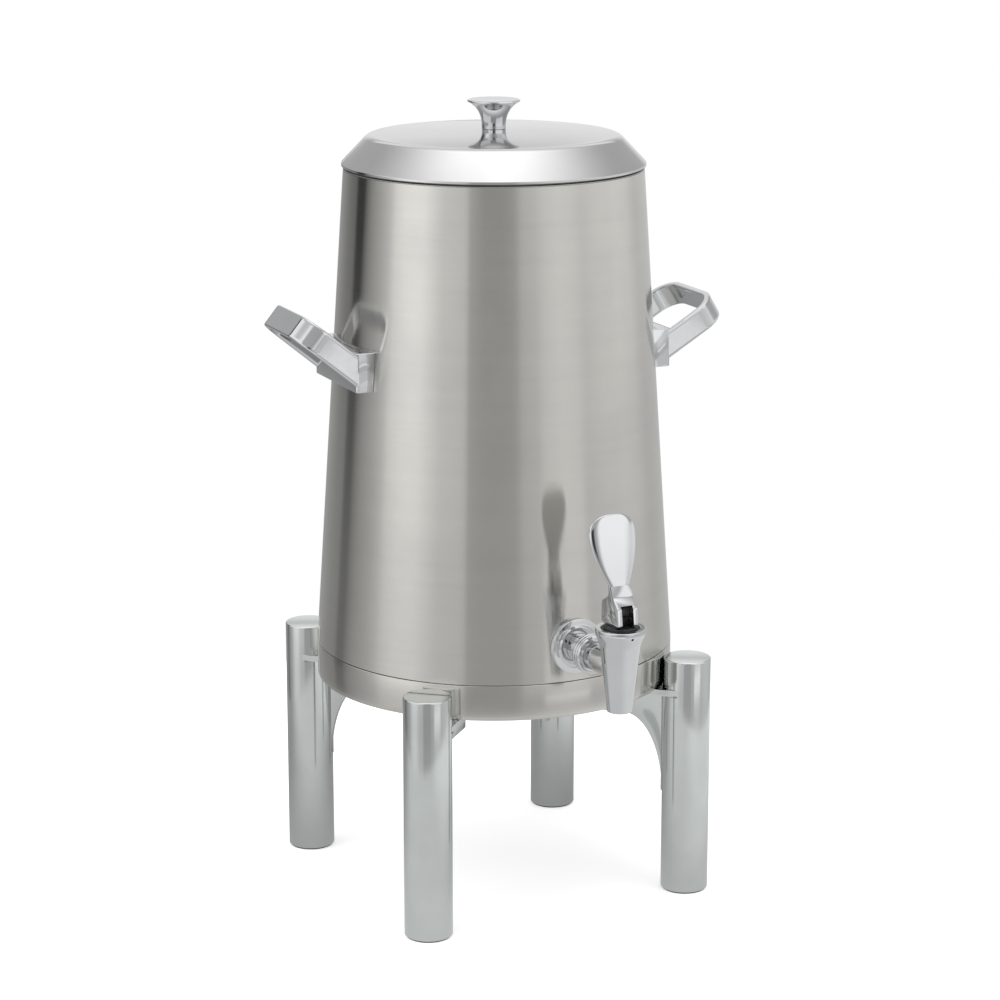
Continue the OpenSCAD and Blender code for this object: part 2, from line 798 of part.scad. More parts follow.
// Crowned blade: the outline cut out of a bent sheet
module paddle() {
    rotate([-paddle_lean, 0, 0]) intersection() {
        rotate([90, 0, 0]) linear_extrude(height = 4 * paddle_t, center = true) polygon(paddle_outline());
        translate([0, paddle_crown_r, -cut_over]) difference() {
            cylinder(r = paddle_crown_r, h = paddle_h + 2 * cut_over);
            cylinder(r = paddle_crown_r - paddle_t, h = paddle_h + 2 * cut_over);
        }
    }
}

// Side view of the slot between the yoke's cheeks, open to the front and below
module slot_outline() {
    circle(r = slot_round);
    translate([-2 * yoke_front, -2 * pin_up]) square([2 * yoke_front + slot_round, 2 * pin_up]);
    translate([-2 * yoke_front, -cut_over]) square([2 * yoke_front, slot_round + cut_over]);
}

module lever() {
    color("whitesmoke") at_tap() translate([0, 0, pin_z]) difference() {
        union() {
            rotate([90, 0, 90]) linear_extrude(height = yoke_w, center = true) polygon(yoke_outline());
            translate([0, -neck_front, neck_up - edge_r]) paddle();
        }
        rotate([90, 0, 90]) linear_extrude(height = slot_w, center = true) slot_outline();
        rotate([0, 90, 0]) cylinder(r = pin_r + bore_clear, h = 2 * yoke_w, center = true);
    }
}

module lever_pin() {
    color("gray") at_tap() translate([0, 0, pin_z]) rotate([0, 90, 0])
        cylinder(r = pin_r, h = yoke_w, center = true);
}

// ---- Lid

// Half section of the lid, offset inwards by a wall: rim, shoulder, rounded edge and a crown that is a true arc
module lid_outline(inset) {
    low = lid_low_z;
    round_r = lid_edge_round - inset;
    polygon(concat(
        [[0, low], [lid_rim_r - inset, low], [lid_rim_r - inset, low + lid_rim_h - inset * rim_fold_share]],
        [for (i = [0:lid_edge_steps]) let (a = 90 - shoulder_angle * (1 - i / lid_edge_steps))
            [lid_dome_edge_r + round_r * cos(a), lid_edge_z - lid_edge_round + round_r * sin(a)]],
        [[0, lid_edge_z - inset]]
    ));
    intersection() {
        translate([0, lid_top_z - inset - lid_dome_r]) circle(r = lid_dome_r, $fn = 360);
        translate([0, lid_edge_z - inset - cut_over]) square([lid_dome_edge_r, dome_h + 2 * cut_over]);
    }
}

module lid_cover() {
    color("white") at_axis() difference() {
        rotate_extrude() difference() {
            lid_outline(0);
            lid_outline(lid_wall);
        }
        translate([0, 0, lid_edge_z]) cylinder(r = knob_screw_r + hole_clear, h = 4 * dome_h);
    }
}

// Pan that closes the underside of the lid and reaches into the mouth
module lid_pan() {
    pan_r = bore_r_at(rim_z) - plug_clear;
    rim_straight = lid_rim_h - lid_wall * rim_fold_share;
    fold_in = max(0, lid_wall - rim_straight) * shoulder_run / shoulder_h;
    fold_r = lid_rim_r - lid_wall - seat_clear - fold_in;
    low = rim_z - plug_h;
    color("gainsboro") at_axis() spin([
        [0, low], [pan_r - base_bend_r, low], [pan_r, low + base_bend_r],
        [pan_r, lid_low_z], [fold_r, lid_low_z], [fold_r, lid_low_z + lid_wall],
        [pan_r - lid_wall, lid_low_z + lid_wall], [pan_r - lid_wall, low + base_bend_r + lid_wall / 2],
        [pan_r - base_bend_r - lid_wall / 2, low + lid_wall], [0, low + lid_wall]
    ]);
}

module lid_seal() {
    in_r = bore_r_at(rim_z) + plug_clear;
    out_r = top_r - seal_out;
    color("dimgray") at_axis() spin([[in_r, rim_z], [out_r, rim_z], [out_r, lid_low_z], [in_r, lid_low_z]]);
}

// Trumpet of the knob between two heights, slow at the neck and quick under the lip
function knob_flare(low, high) = [for (i = [0:knob_flare_steps]) let (s = i / knob_flare_steps)
    [knob_neck_r + (knob_r - knob_lip - knob_neck_r) * pow(s, knob_flare_power), low + (high - low) * s]];

module lid_knob() {
    neck_z = lid_top_z + knob_h * knob_neck_top_share;
    top = lid_top_z + knob_h;
    color("white") at_axis() difference() {
        spin(concat(
            [[0, lid_top_z], [knob_neck_r, lid_top_z]],
            knob_flare(neck_z, top - 2 * knob_rim),
            [[knob_r, top - knob_rim], [knob_r - knob_rim / 2, top],
             [knob_r * knob_dish_share, top], [0, top - knob_dish]]
        ));
        translate([0, 0, lid_top_z - cut_over])
            cylinder(r = knob_screw_r + bore_clear, h = knob_screw_grip + hole_clear + cut_over);
    }
}

module knob_screw() {
    sag = knob_screw_head_r * knob_screw_head_r / (2 * lid_dome_r) + bore_clear;
    head_z = lid_top_z - lid_wall - sag - knob_screw_head_h;
    color("dimgray") at_axis() {
        translate([0, 0, head_z]) cylinder(r = knob_screw_head_r, h = knob_screw_head_h);
        translate([0, 0, head_z])
            cylinder(r = knob_screw_r, h = knob_screw_head_h + sag + lid_wall + knob_screw_grip);
    }
}

outer_shell();
inner_liner();
base_ring();
base_plate();
base_cup();
base_cup_screw();
leg(false, true);  // leg_front_left
leg(true, true);  // leg_front_right
leg(false, false);  // leg_rear_left
leg(true, false);  // leg_rear_right
glide(false, true);  // glide_front_left
glide(true, true);  // glide_front_right
glide(false, false);  // glide_rear_left
glide(true, false);  // glide_rear_right
bracket(false, true);  // bracket_front_left
bracket(true, true);  // bracket_front_right
bracket(false, false);  // bracket_rear_left
bracket(true, false);  // bracket_rear_right
bracket_screws();
bracket_nuts();
handle(-1);  // handle_left
handle(1);  // handle_right
handle_screws(-1);  // handle_screws_left
handle_screws(1);  // handle_screws_right
tap_flange();
tap_shank();
shank_washer();
shank_nut();
tap_coupling();
tap_body();
tap_bonnet();
seat_cup();
valve_stem();
valve_spring();
lever();
lever_pin();
lid_cover();
lid_pan();
lid_seal();
lid_knob();
knob_screw();
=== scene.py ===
"""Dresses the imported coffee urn, a tapered steel body on tube legs with handles, a lever tap and a lid.

Sizes are millimetres in the classes below and metres in every mesh. The urn's own axis stands a little
behind the frame's origin, because the origin is the middle of the whole footprint, tap included.
"""

from __future__ import annotations

import logging
import math
from dataclasses import dataclass
from enum import Enum
from typing import Any, Callable, Iterable, Sequence

import bmesh
import bpy
from mathutils import Matrix, Vector

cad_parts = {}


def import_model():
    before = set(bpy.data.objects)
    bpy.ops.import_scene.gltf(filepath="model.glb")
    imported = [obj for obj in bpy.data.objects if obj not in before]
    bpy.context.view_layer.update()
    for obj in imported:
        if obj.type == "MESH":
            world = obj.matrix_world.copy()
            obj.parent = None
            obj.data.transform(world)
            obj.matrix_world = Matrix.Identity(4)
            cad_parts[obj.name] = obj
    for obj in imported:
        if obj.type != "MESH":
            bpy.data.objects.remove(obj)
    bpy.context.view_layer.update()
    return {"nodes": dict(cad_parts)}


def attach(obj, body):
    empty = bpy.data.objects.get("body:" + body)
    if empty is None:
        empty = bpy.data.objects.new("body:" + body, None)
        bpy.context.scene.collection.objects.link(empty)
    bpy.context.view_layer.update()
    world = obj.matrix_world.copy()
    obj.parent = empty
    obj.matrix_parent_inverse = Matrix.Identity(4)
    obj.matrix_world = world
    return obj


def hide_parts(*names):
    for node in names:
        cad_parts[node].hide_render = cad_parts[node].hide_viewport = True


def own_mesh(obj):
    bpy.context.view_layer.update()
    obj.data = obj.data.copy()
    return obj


Mesh = bpy.types.Mesh
Node = bpy.types.Node
NodeTree = bpy.types.NodeTree
Socket = bpy.types.NodeSocket
Point = tuple[float, float]
Corner = tuple[float, float, float]

LOG = logging.getLogger("coffee_urn")
MM = 0.001
# The urn's upright axis in the frame, and how far in front of it the tap's own upright axis stands.
AXIS = Vector((0.0, 43.5351, 0.0))
TAP_REACH = 212.0702
# Space between a piece and its seat, and round a shaft in its bore.
SEAT = 0.1
SHAFT = 0.05
# Sides of a turned shape, spans across a rounded edge, and the angle past which an edge stays crisp.
TURN = 96
BEVEL_SPANS = 3
CREASE = 38.0
# Turns a shape from upright to lying along X.
ALONG_X = Matrix.Rotation(math.radians(90.0), 4, "Y")


class Body(Enum):
    """Rigid bodies of the frame that a piece can ride on."""

    URN = "urn"
    LID = "lid"
    VALVE = "valve"
    LEVER = "lever"


class Side(Enum):
    """Side of the urn that a handle stands on, as its direction in degrees about the axis."""

    RIGHT = -3.0
    LEFT = 177.0


class Quarter(Enum):
    """Quarter of the stand that a leg stands in, as its direction in degrees about the axis."""

    front_right = 315.0
    front_left = 225.0
    rear_right = 45.0
    rear_left = 135.0


# Small tools


def linear(hex_code: str) -> tuple[float, float, float, float]:
    """Turns an sRGB hex colour into linear light.

    Args:
        hex_code: Six hex digits, with or without a leading hash.

    Returns:
        Linear red, green and blue, with an alpha of one.
    """
    digits = hex_code.lstrip("#")
    parts = [int(digits[i : i + 2], 16) / 255.0 for i in (0, 2, 4)]
    light = [c / 12.92 if c <= 0.04045 else ((c + 0.055) / 1.055) ** 2.4 for c in parts]
    return (light[0], light[1], light[2], 1.0)


def add_node(
    tree: NodeTree,
    kind: str,
    settings: dict[str, Any] | None = None,
    **inputs: Any,
) -> Node:
    """Adds a node with its settings, its values and its links.

    Args:
        tree: Node tree that gets the node.
        kind: Type name of the node.
        settings: Properties of the node itself.
        **inputs: Input sockets by name, with spaces as underscores, or by number as i0, i1 and so on. A value
            that is an output socket is linked, anything else becomes the socket's own value.

    Returns:
        The new node.
    """
    node = tree.nodes.new(kind)
    for key, value in (settings or {}).items():
        setattr(node, key, value)
    for key, value in inputs.items():
        if key[0] == "i" and key[1:].isdigit():
            socket = node.inputs[int(key[1:])]
        else:
            socket = node.inputs[key.replace("_", " ")]
        if isinstance(value, Socket):
            tree.links.new(value, socket)
        else:
            socket.default_value = value
    return node


def wired(
    tree: NodeTree, kind: str, settings: dict[str, Any] | None = None, **inputs: Any
) -> Socket:
    """Adds a node as add_node does, and returns its first output."""
    return add_node(tree, kind, settings, **inputs).outputs[0]


def maths(tree: NodeTree, kind: str, first: Any, second: Any) -> Socket:
    """Result of one operation on two sockets or values."""
    return wired(tree, "ShaderNodeMath", {"operation": kind}, i0=first, i1=second)


def sum_of(tree: NodeTree, first: Any, factor: Any, added: float) -> Socket:
    """First value times a factor, with another value added."""
    settings = {"operation": "MULTIPLY_ADD"}
    return wired(tree, "ShaderNodeMath", settings, i0=first, i1=factor, i2=added)


def measure(tree: NodeTree, way: Socket, line: Vector) -> Socket:
    """How far a direction or a place points along a line."""
    settings = {"operation": "DOT_PRODUCT"}
    return add_node(tree, "ShaderNodeVectorMath", settings, i0=way, i1=line).outputs[1]


def scaled(tree: NodeTree, vector: Socket, factor: Socket) -> Socket:
    """Vector or colour times a factor."""
    return wired(tree, "ShaderNodeVectorMath", {"operation": "SCALE"}, i0=vector, Scale=factor)


def blend(tree: NodeTree, share: Socket, first: Any, second: Any) -> Socket:
    """Value between the first, at a share of zero, and the second, at a share of one."""
    settings = {"data_type": "FLOAT"}
    return wired(tree, "ShaderNodeMix", settings, i0=share, i2=first, i3=second)


def ranged(
    tree: NodeTree, value: Socket, old: Point, new: Point = (0.0, 1.0), kind: str = "LINEAR"
) -> Socket:
    """Maps a value from one range to another.

    Args:
        tree: Node tree that gets the node.
        value: Value that is mapped.
        old: Its range.
        new: Range of the result.
        kind: How it goes from one end to the other.

    Returns:
        The mapped value, held within its range.
    """
    ends = {"From_Min": old[0], "From_Max": old[1], "To_Min": new[0], "To_Max": new[1]}
    return wired(tree, "ShaderNodeMapRange", {"interpolation_type": kind}, Value=value, **ends)


def rounded(corners: Sequence[Corner], loop: bool, steps: int = 5) -> list[Point]:
    """Rounds the corners of an outline with true arcs.

    Args:
        corners: Points as (first, second, radius) in millimetres.
        loop: Whether the last point joins the first.
        steps: Spans in each arc.

    Returns:
        The outline as plain points.
    """
    out: list[Point] = []
    count = len(corners)
    for i, (x, y, radius) in enumerate(corners):
        open_end = not loop and i in (0, count - 1)
        if radius <= 0.0 or open_end:
            out.append((x, y))
            continue
        here = Vector((x, y))
        back = Vector(corners[i - 1][:2]) - here
        ahead = Vector(corners[(i + 1) % count][:2]) - here
        half = back.angle(ahead) / 2.0
        reach = min(radius / math.tan(half), 0.49 * min(back.length, ahead.length))
        radius = reach * math.tan(half)
        start = here + back.normalized() * reach
        end = here + ahead.normalized() * reach
        centre = here + (back.normalized() + ahead.normalized()).normalized() * radius / math.sin(half)
        a, b = start - centre, end - centre
        sweep = a.angle_signed(b)
        for k in range(steps + 1):
            turn = -sweep * k / steps
            spot = centre + Vector(
                (a.x * math.cos(turn) - a.y * math.sin(turn), a.x * math.sin(turn) + a.y * math.cos(turn))
            )
            out.append((spot.x, spot.y))
    return out


def arc(centre: Point, radius: float, start: float, end: float, steps: int) -> list[Point]:
    """Points of an arc between two angles in degrees.

    Args:
        centre: Middle of the arc.
        radius: Its radius.
        start: First angle.
        end: Last angle.
        steps: Spans between the two.

    Returns:
        The points, both ends included.
    """
    angles = [math.radians(start + (end - start) * i / steps) for i in range(steps + 1)]
    return [(centre[0] + radius * math.cos(a), centre[1] + radius * math.sin(a)) for a in angles]


def bezier(a: Point, b: Point, c: Point, d: Point, steps: int) -> list[Point]:
    """Points of one cubic curve.

    Args:
        a: First point.
        b: Handle of the first point.
        c: Handle of the last point.
        d: Last point.
        steps: Spans along the curve.

    Returns:
        The points, both ends included.
    """
    out = []
    for i in range(steps + 1):
        t = i / steps
        w = ((1 - t) ** 3, 3 * t * (1 - t) ** 2, 3 * t * t * (1 - t), t**3)
        out.append(tuple(w[0] * a[k] + w[1] * b[k] + w[2] * c[k] + w[3] * d[k] for k in (0, 1)))
    return out


def softened(mesh: Mesh, sharp: float = CREASE) -> Mesh:
    """Smooths a mesh up to an angle in degrees, past which an edge stays crisp, and returns it."""
    mesh.shade_smooth()
    mesh.set_sharp_from_angle(angle=math.radians(sharp))
    return mesh


def close_mesh(work: bmesh.types.BMesh, name: str, sharp: float = CREASE) -> Mesh:
    """Merges doubles, points the faces outwards and smooths them up to an angle.

    Args:
        work: Mesh under construction, in metres. It is freed.
        name: Name of the finished mesh.
        sharp: Angle in degrees past which an edge stays crisp.

    Returns:
        The finished mesh.
    """
    bmesh.ops.remove_doubles(work, verts=work.verts, dist=1e-6)
    bmesh.ops.recalc_face_normals(work, faces=work.faces)
    mesh = bpy.data.meshes.new(name)
    work.to_mesh(mesh)
    work.free()
    return softened(mesh, sharp)


def lathe(name: str, outline: Sequence[Point], loop: bool = False, steps: int = TURN) -> Mesh:
    """Turns an outline in radius and height about the Z axis.

    Args:
        name: Name of the mesh.
        outline: Points in millimetres. An open outline starts and ends on the axis.
        loop: Whether the outline closes on itself, as a ring's does.
        steps: Sides of the turned shape.

    Returns:
        A closed mesh in metres.
    """
    work = bmesh.new()
    rings = []
    for radius, height in outline:
        if radius < 1e-6:
            rings.append([work.verts.new((0.0, 0.0, height * MM))])
            continue
        angles = [math.tau * i / steps for i in range(steps)]
        spots = [(radius * MM * math.cos(a), radius * MM * math.sin(a), height * MM) for a in angles]
        rings.append([work.verts.new(spot) for spot in spots])
    pairs = list(zip(rings, rings[1:])) + ([(rings[-1], rings[0])] if loop else [])
    for low, high in pairs:
        for i in range(steps):
            j = (i + 1) % steps
            if len(low) == 1 and len(high) == 1:
                break
            if len(low) == 1:
                work.faces.new((low[0], high[j], high[i]))
            elif len(high) == 1:
                work.faces.new((low[i], low[j], high[0]))
            else:
                work.faces.new((low[i], low[j], high[j], high[i]))
    return close_mesh(work, name)


def loft(name: str, rings: Sequence[Sequence[Vector]], sharp: float = CREASE) -> Mesh:
    """Skins a row of closed rings with the same number of points, and caps both ends.

    Args:
        name: Name of the mesh.
        rings: Rings of points in metres.
        sharp: Angle in degrees past which an edge stays crisp.

    Returns:
        A closed mesh.
    """
    work = bmesh.new()
    rows = [[work.verts.new(p) for p in ring] for ring in rings]
    count = len(rows[0])
    for low, high in zip(rows, rows[1:]):
        for i in range(count):
            j = (i + 1) % count
            work.faces.new((low[i], low[j], high[j], high[i]))
    work.faces.new(rows[0][::-1])
    work.faces.new(rows[-1])
    return close_mesh(work, name, sharp)


def prism(name: str, outline: Sequence[Point], low: float, high: float) -> Mesh:
    """Raises a flat outline between two heights, all in millimetres."""
    rings = [[Vector((x, y, z)) * MM for x, y in outline] for z in (low, high)]
    return loft(name, rings, sharp=25.0)


def hexagon(radius: float) -> list[Point]:
    """Outline of a hexagon whose corners lie at a radius."""
    return arc((0.0, 0.0), radius, 0.0, 300.0, 5)


def spun(name: str, corners: Sequence[Corner], loop: bool, steps: int, sides: int = TURN) -> Mesh:
    """Turns an outline with rounded corners about the Z axis.

    Args:
        name: Name of the mesh.
        corners: Points as (radius, height, rounding) in millimetres.
        loop: Whether the outline closes on itself, as a ring's does.
        steps: Spans in each rounding.
        sides: Sides of the turned shape.

    Returns:
        A closed mesh in metres.
    """
    return lathe(name, rounded(corners, loop, steps), loop, sides)


def rod(name: str, radius: float, low: float, high: float, sides: int = 32) -> Mesh:
    """Plain round bar between two heights, which also serves as a drill."""
    return lathe(name, [(0.0, low), (radius, low), (radius, high), (0.0, high)], False, sides)


def slab(name: str, side: Sequence[Point], half: float) -> Mesh:
    """Spreads a side view in Y and Z by a half width to both sides, all in millimetres."""
    return loft(name, [[Vector((x, y, z)) * MM for y, z in side] for x in (-half, half)], 25.0)


def moved(mesh: Mesh, matrix: Matrix) -> Mesh:
    """Puts a mesh in its place and returns it."""
    mesh.transform(matrix)
    mesh.update()
    return mesh


def joined(name: str, meshes: Sequence[Mesh], sharp: float = CREASE) -> Mesh:
    """Puts several meshes into one, shells kept apart.

    Args:
        name: Name of the result.
        meshes: Meshes in metres, used up by the call.
        sharp: Angle in degrees past which an edge stays crisp.

    Returns:
        The joined mesh.
    """
    work = bmesh.new()
    for mesh in meshes:
        work.from_mesh(mesh)
        bpy.data.meshes.remove(mesh)
    out = bpy.data.meshes.new(name)
    work.to_mesh(out)
    work.free()
    return softened(out, sharp)


def evaluated_mesh(holder: bpy.types.Object, name: str) -> Mesh:
    """Freezes an object's modifiers into a plain mesh and removes the object.

    Args:
        holder: Object whose modifiers are done.
        name: Name of the plain mesh.

    Returns:
        The plain mesh.
    """
    graph = bpy.context.evaluated_depsgraph_get()
    mesh = bpy.data.meshes.new_from_object(holder.evaluated_get(graph))
    mesh.name = name
    bpy.data.objects.remove(holder)
    return mesh


def hold(name: str, mesh: Mesh) -> bpy.types.Object:
    """Links a mesh to the scene as a working object."""
    holder = bpy.data.objects.new(name, mesh)
    bpy.context.scene.collection.objects.link(holder)
    return holder


def bevelled(mesh: Mesh, width: float, angle: float = 30.0) -> Mesh:
    """Rounds a mesh's sharp edges.

    Args:
        mesh: Mesh in metres.
        width: Width of the rounding in millimetres.
        angle: Smallest edge angle that is rounded, in degrees.

    Returns:
        The rounded mesh.
    """
    holder = hold("bevel_work", mesh)
    tool = holder.modifiers.new("round", "BEVEL")
    tool.width = width * MM
    tool.segments = BEVEL_SPANS
    tool.limit_method = "ANGLE"
    tool.angle_limit = math.radians(angle)
    tool.harden_normals = True
    return evaluated_mesh(holder, mesh.name)


def cut(mesh: Mesh, tools: Iterable[Mesh], kind: str = "DIFFERENCE") -> Mesh:
    """Takes closed meshes out of a closed mesh, or melts them into it.

    Args:
        mesh: Mesh that is worked on.
        tools: Meshes that it is worked on with.
        kind: "DIFFERENCE" to take them out, "UNION" to melt them in.

    Returns:
        The finished mesh.
    """
    holder = hold("cut_work", mesh)
    helpers = [hold("cut_tool", tool) for tool in tools]
    for helper in helpers:
        boolean = holder.modifiers.new("cut", "BOOLEAN")
        boolean.operation = kind
        boolean.solver = "EXACT"
        boolean.object = helper
    result = evaluated_mesh(holder, mesh.name)
    for helper in helpers:
        bpy.data.objects.remove(helper)
    result.set_sharp_from_angle(angle=math.radians(30.0))
    return result


def at_axis(turn: float = 0.0, out: float = 0.0, up: float = 0.0) -> Matrix:
    """Place out from the urn's axis in a direction in degrees about it, with the distance along local X."""
    return (
        Matrix.Translation(AXIS * MM)
        @ Matrix.Rotation(math.radians(turn), 4, "Z")
        @ Matrix.Translation(Vector((out, 0.0, up)) * MM)
    )


def at_tap(up: float = 0.0) -> Matrix:
    """Place on the tap's upright axis, a height above the table."""
    return Matrix.Translation(Vector((AXIS.x, AXIS.y - TAP_REACH, up)) * MM)


def along_tap(near: float, height: float) -> Matrix:
    """Turns local Z to point out through the tap, from a distance in front of the urn's axis."""
    spot = Vector((0.0, AXIS.y - near, height)) * MM
    return Matrix.Translation(spot) @ Matrix.Rotation(math.radians(90.0), 4, "X")


def put(
    name: str, mesh: Mesh, finish: "Finish", stands_for: Sequence[str] = (), body: Body = Body.URN
) -> bpy.types.Object:
    """Hands a finished mesh over to the frame as a piece.

    Args:
        name: Name of the piece.
        mesh: Its mesh, in metres and in place.
        finish: What its surface is made of.
        stands_for: CAD nodes that it replaces.
        body: Rigid body that it rides on.

    Returns:
        The piece.
    """
    piece = hold(name, mesh)
    mesh.materials.clear()
    mesh.materials.append(finish.material())
    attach(piece, body.value)
    if stands_for:
        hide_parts(*stands_for)
    LOG.info("%s: %d faces on %s", name, len(mesh.polygons), body.value)
    return piece


# Finishes


@dataclass(frozen=True)
class Finish:
    """A surface as it leaves the maker's hands.

    Attributes:
        name: What the surface is.
        slot: Name of a material slot; not used.
        colour: sRGB hex colour.
        shade: Second sRGB hex colour, for handling marks and patches.
        roughness: Middle of the roughness.
        spread: How far the roughness wanders.
        metallic: One for bare metal, zero for plastics and rubbers.
        grain_mm: Size of the grain along X, Y and Z.
        bump_mm: Height of the grain.
        anisotropic: Stretch of the highlight along the brushing.
    """

    name: str
    slot: str
    colour: str
    shade: str
    roughness: float
    spread: float
    metallic: float
    grain_mm: tuple[float, float, float]
    bump_mm: float
    anisotropic: float = 0.0

    def material(self) -> bpy.types.Material:
        """Builds the material once and returns it."""
        ready = bpy.data.materials.get(self.name)
        if ready:
            return ready
        material = bpy.data.materials.new(self.name)
        material.use_nodes = True
        tree = material.node_tree
        tree.nodes.clear()
        shader = add_node(tree, "ShaderNodeBsdfPrincipled", Metallic=self.metallic)
        shader.inputs["Anisotropic"].default_value = self.anisotropic
        add_node(tree, "ShaderNodeOutputMaterial", Surface=shader.outputs[0])
        where = add_node(tree, "ShaderNodeTexCoord").outputs["Object"]
        self.paint(tree, shader, where)
        return material

    def paint(self, tree: NodeTree, shader: Node, where: Socket) -> None:
        """Lays colour, roughness and grain on the shader.

        Args:
            tree: Node tree of the material.
            shader: Its Principled shader.
            where: Object coordinates in metres.
        """
        scale = tuple(1.0 / (g * MM) for g in self.grain_mm)
        fine = wired(tree, "ShaderNodeMapping", Vector=where, Scale=scale)
        grain = wired(tree, "ShaderNodeTexNoise", Vector=fine, Scale=1.0, Detail=3.0, Roughness=0.6)
        patch = wired(tree, "ShaderNodeTexNoise", Vector=where, Scale=14.0, Detail=4.0, Roughness=0.55)
        worn = ranged(tree, patch, (0.42, 0.68))
        colours = {"i6": linear(self.colour), "i7": linear(self.shade)}
        tone = add_node(tree, "ShaderNodeMix", {"data_type": "RGBA"}, i0=worn, **colours)
        tree.links.new(tone.outputs[2], shader.inputs["Base Color"])
        both = maths(tree, "ADD", patch, grain)
        ends = (max(0.02, self.roughness - self.spread), self.roughness + self.spread)
        tree.links.new(ranged(tree, both, (0.7, 1.3), ends), shader.inputs["Roughness"])
        height = {"Distance": self.bump_mm * MM, "Strength": 1.0}
        tree.links.new(wired(tree, "ShaderNodeBump", Height=grain, **height), shader.inputs["Normal"])


@dataclass(frozen=True)
class BrushedSteel(Finish):
    """Stainless sheet brushed round the body, with long level streaks among its fine lines.

    Attributes:
        streak_mm: Height of a streak.
        streak_long: How many times its height it is long.
        turned: Turn of the stretched highlight about the surface, as a share of a whole turn.
    """

    streak_mm: float = 9.0
    streak_long: float = 30.0
    turned: float = 0.25

    def paint(self, tree: NodeTree, shader: Node, where: Socket) -> None:
        """Adds the long soft streaks of the brushing to the plain grain.

        Args:
            tree: Node tree of the material.
            shader: Its Principled shader.
            where: Object coordinates in metres.
        """
        super().paint(tree, shader, where)
        tangent = wired(tree, "ShaderNodeTangent", {"direction_type": "RADIAL", "axis": "Z"})
        tree.links.new(tangent, shader.inputs["Tangent"])
        shader.inputs["Anisotropic Rotation"].default_value = self.turned
        fine = 1.0 / (self.streak_mm * MM)
        level = fine / self.streak_long
        long_way = wired(tree, "ShaderNodeMapping", Vector=where, Scale=(level, level, fine))
        streak = wired(tree, "ShaderNodeTexNoise", Vector=long_way, Scale=1.0, Detail=5.0, Roughness=0.7)
        old = shader.inputs["Base Color"].links[0].from_socket
        tone = ranged(tree, streak, (0.3, 0.7), (0.975, 1.01))
        tree.links.new(scaled(tree, old, tone), shader.inputs["Base Color"])


# Stainless sheet, finely brushed: warm, and clear enough to show upright bands of the room.
BRUSHED_SHELL = BrushedSteel(
    "brushed stainless sheet", "brushed_shell", "D5D4CF", "D1CFCB", 0.15, 0.02, 1.0, (60.0, 60.0, 0.5), 0.002,
    anisotropic=0.85,
)
# The base ring is rolled from the same sheet, brushed a little finer.
BRUSHED_RING = BrushedSteel(
    "brushed stainless ring", "brushed_ring", "D3D1CC", "CCCAC5", 0.13, 0.02, 1.0, (50.0, 50.0, 0.5), 0.002,
    anisotropic=0.8,
)
# Deep-drawn stainless left as it came from the press: dull, with faint blotches.
DRAWN_STEEL = Finish(
    "deep-drawn stainless", "liner_steel", "B4B4B1", "A5A5A2", 0.36, 0.08, 1.0, (1.2, 1.2, 1.2), 0.004
)
# Stainless tube and plate polished on a wheel: clear reflections with a faint haze.
POLISHED_STEEL = Finish(
    "polished stainless tube", "polished_steel", "DCE0DF", "D3D7D6", 0.11, 0.03, 1.0, (6.0, 6.0, 6.0), 0.003
)
# The lid's spun stainless, polished to a near mirror.
POLISHED_LID = Finish(
    "polished spun stainless", "polished_lid", "DAD9D9", "D3D2D2", 0.08, 0.02, 1.0, (9.0, 9.0, 9.0), 0.002
)
# Bright decorative chromium plate over zinc or brass castings: a cool mirror with soft casting waves.
CHROME = Finish(
    "bright chromium plate", "polished_chrome", "DADBDC", "D2D4D6", 0.06, 0.03, 1.0, (7.0, 7.0, 7.0), 0.006
)
# Zinc-plated steel of screws and nuts: greyer and duller than the polished pieces.
ZINC = Finish(
    "zinc-plated steel", "fastener_steel", "9C9D9B", "8A8B8A", 0.32, 0.08, 1.0, (0.8, 0.8, 0.8), 0.004
)
# Drawn spring wire.
WIRE = Finish(
    "drawn spring wire", "spring_steel", "A2A19E", "8F8E8B", 0.28, 0.06, 1.0, (0.5, 0.5, 2.0), 0.003
)
# Moulded acetal of bonnet and stem: black with a soft satin sheen.
BLACK_PLASTIC = Finish(
    "moulded black acetal", "black_plastic", "1B1B1C", "242425", 0.38, 0.08, 0.0, (0.5, 0.5, 0.5), 0.01
)
# Moulded rubber of the glides: matte, dusty black.
BLACK_RUBBER = Finish(
    "moulded rubber", "black_rubber", "1E1E1E", "2B2A29", 0.62, 0.1, 0.0, (0.6, 0.6, 0.6), 0.02
)
# Food-grade silicone, milky and matte.
WHITE_SILICONE = Finish(
    "milky silicone", "white_silicone", "DCDAD4", "D2CFC8", 0.5, 0.08, 0.0, (1.0, 1.0, 1.0), 0.01
)
# Grey silicone of the lid's seal.
GREY_SILICONE = Finish(
    "grey silicone", "grey_silicone", "6E6E6D", "646463", 0.52, 0.08, 0.0, (1.0, 1.0, 1.0), 0.01
)


# Node trees for shapes


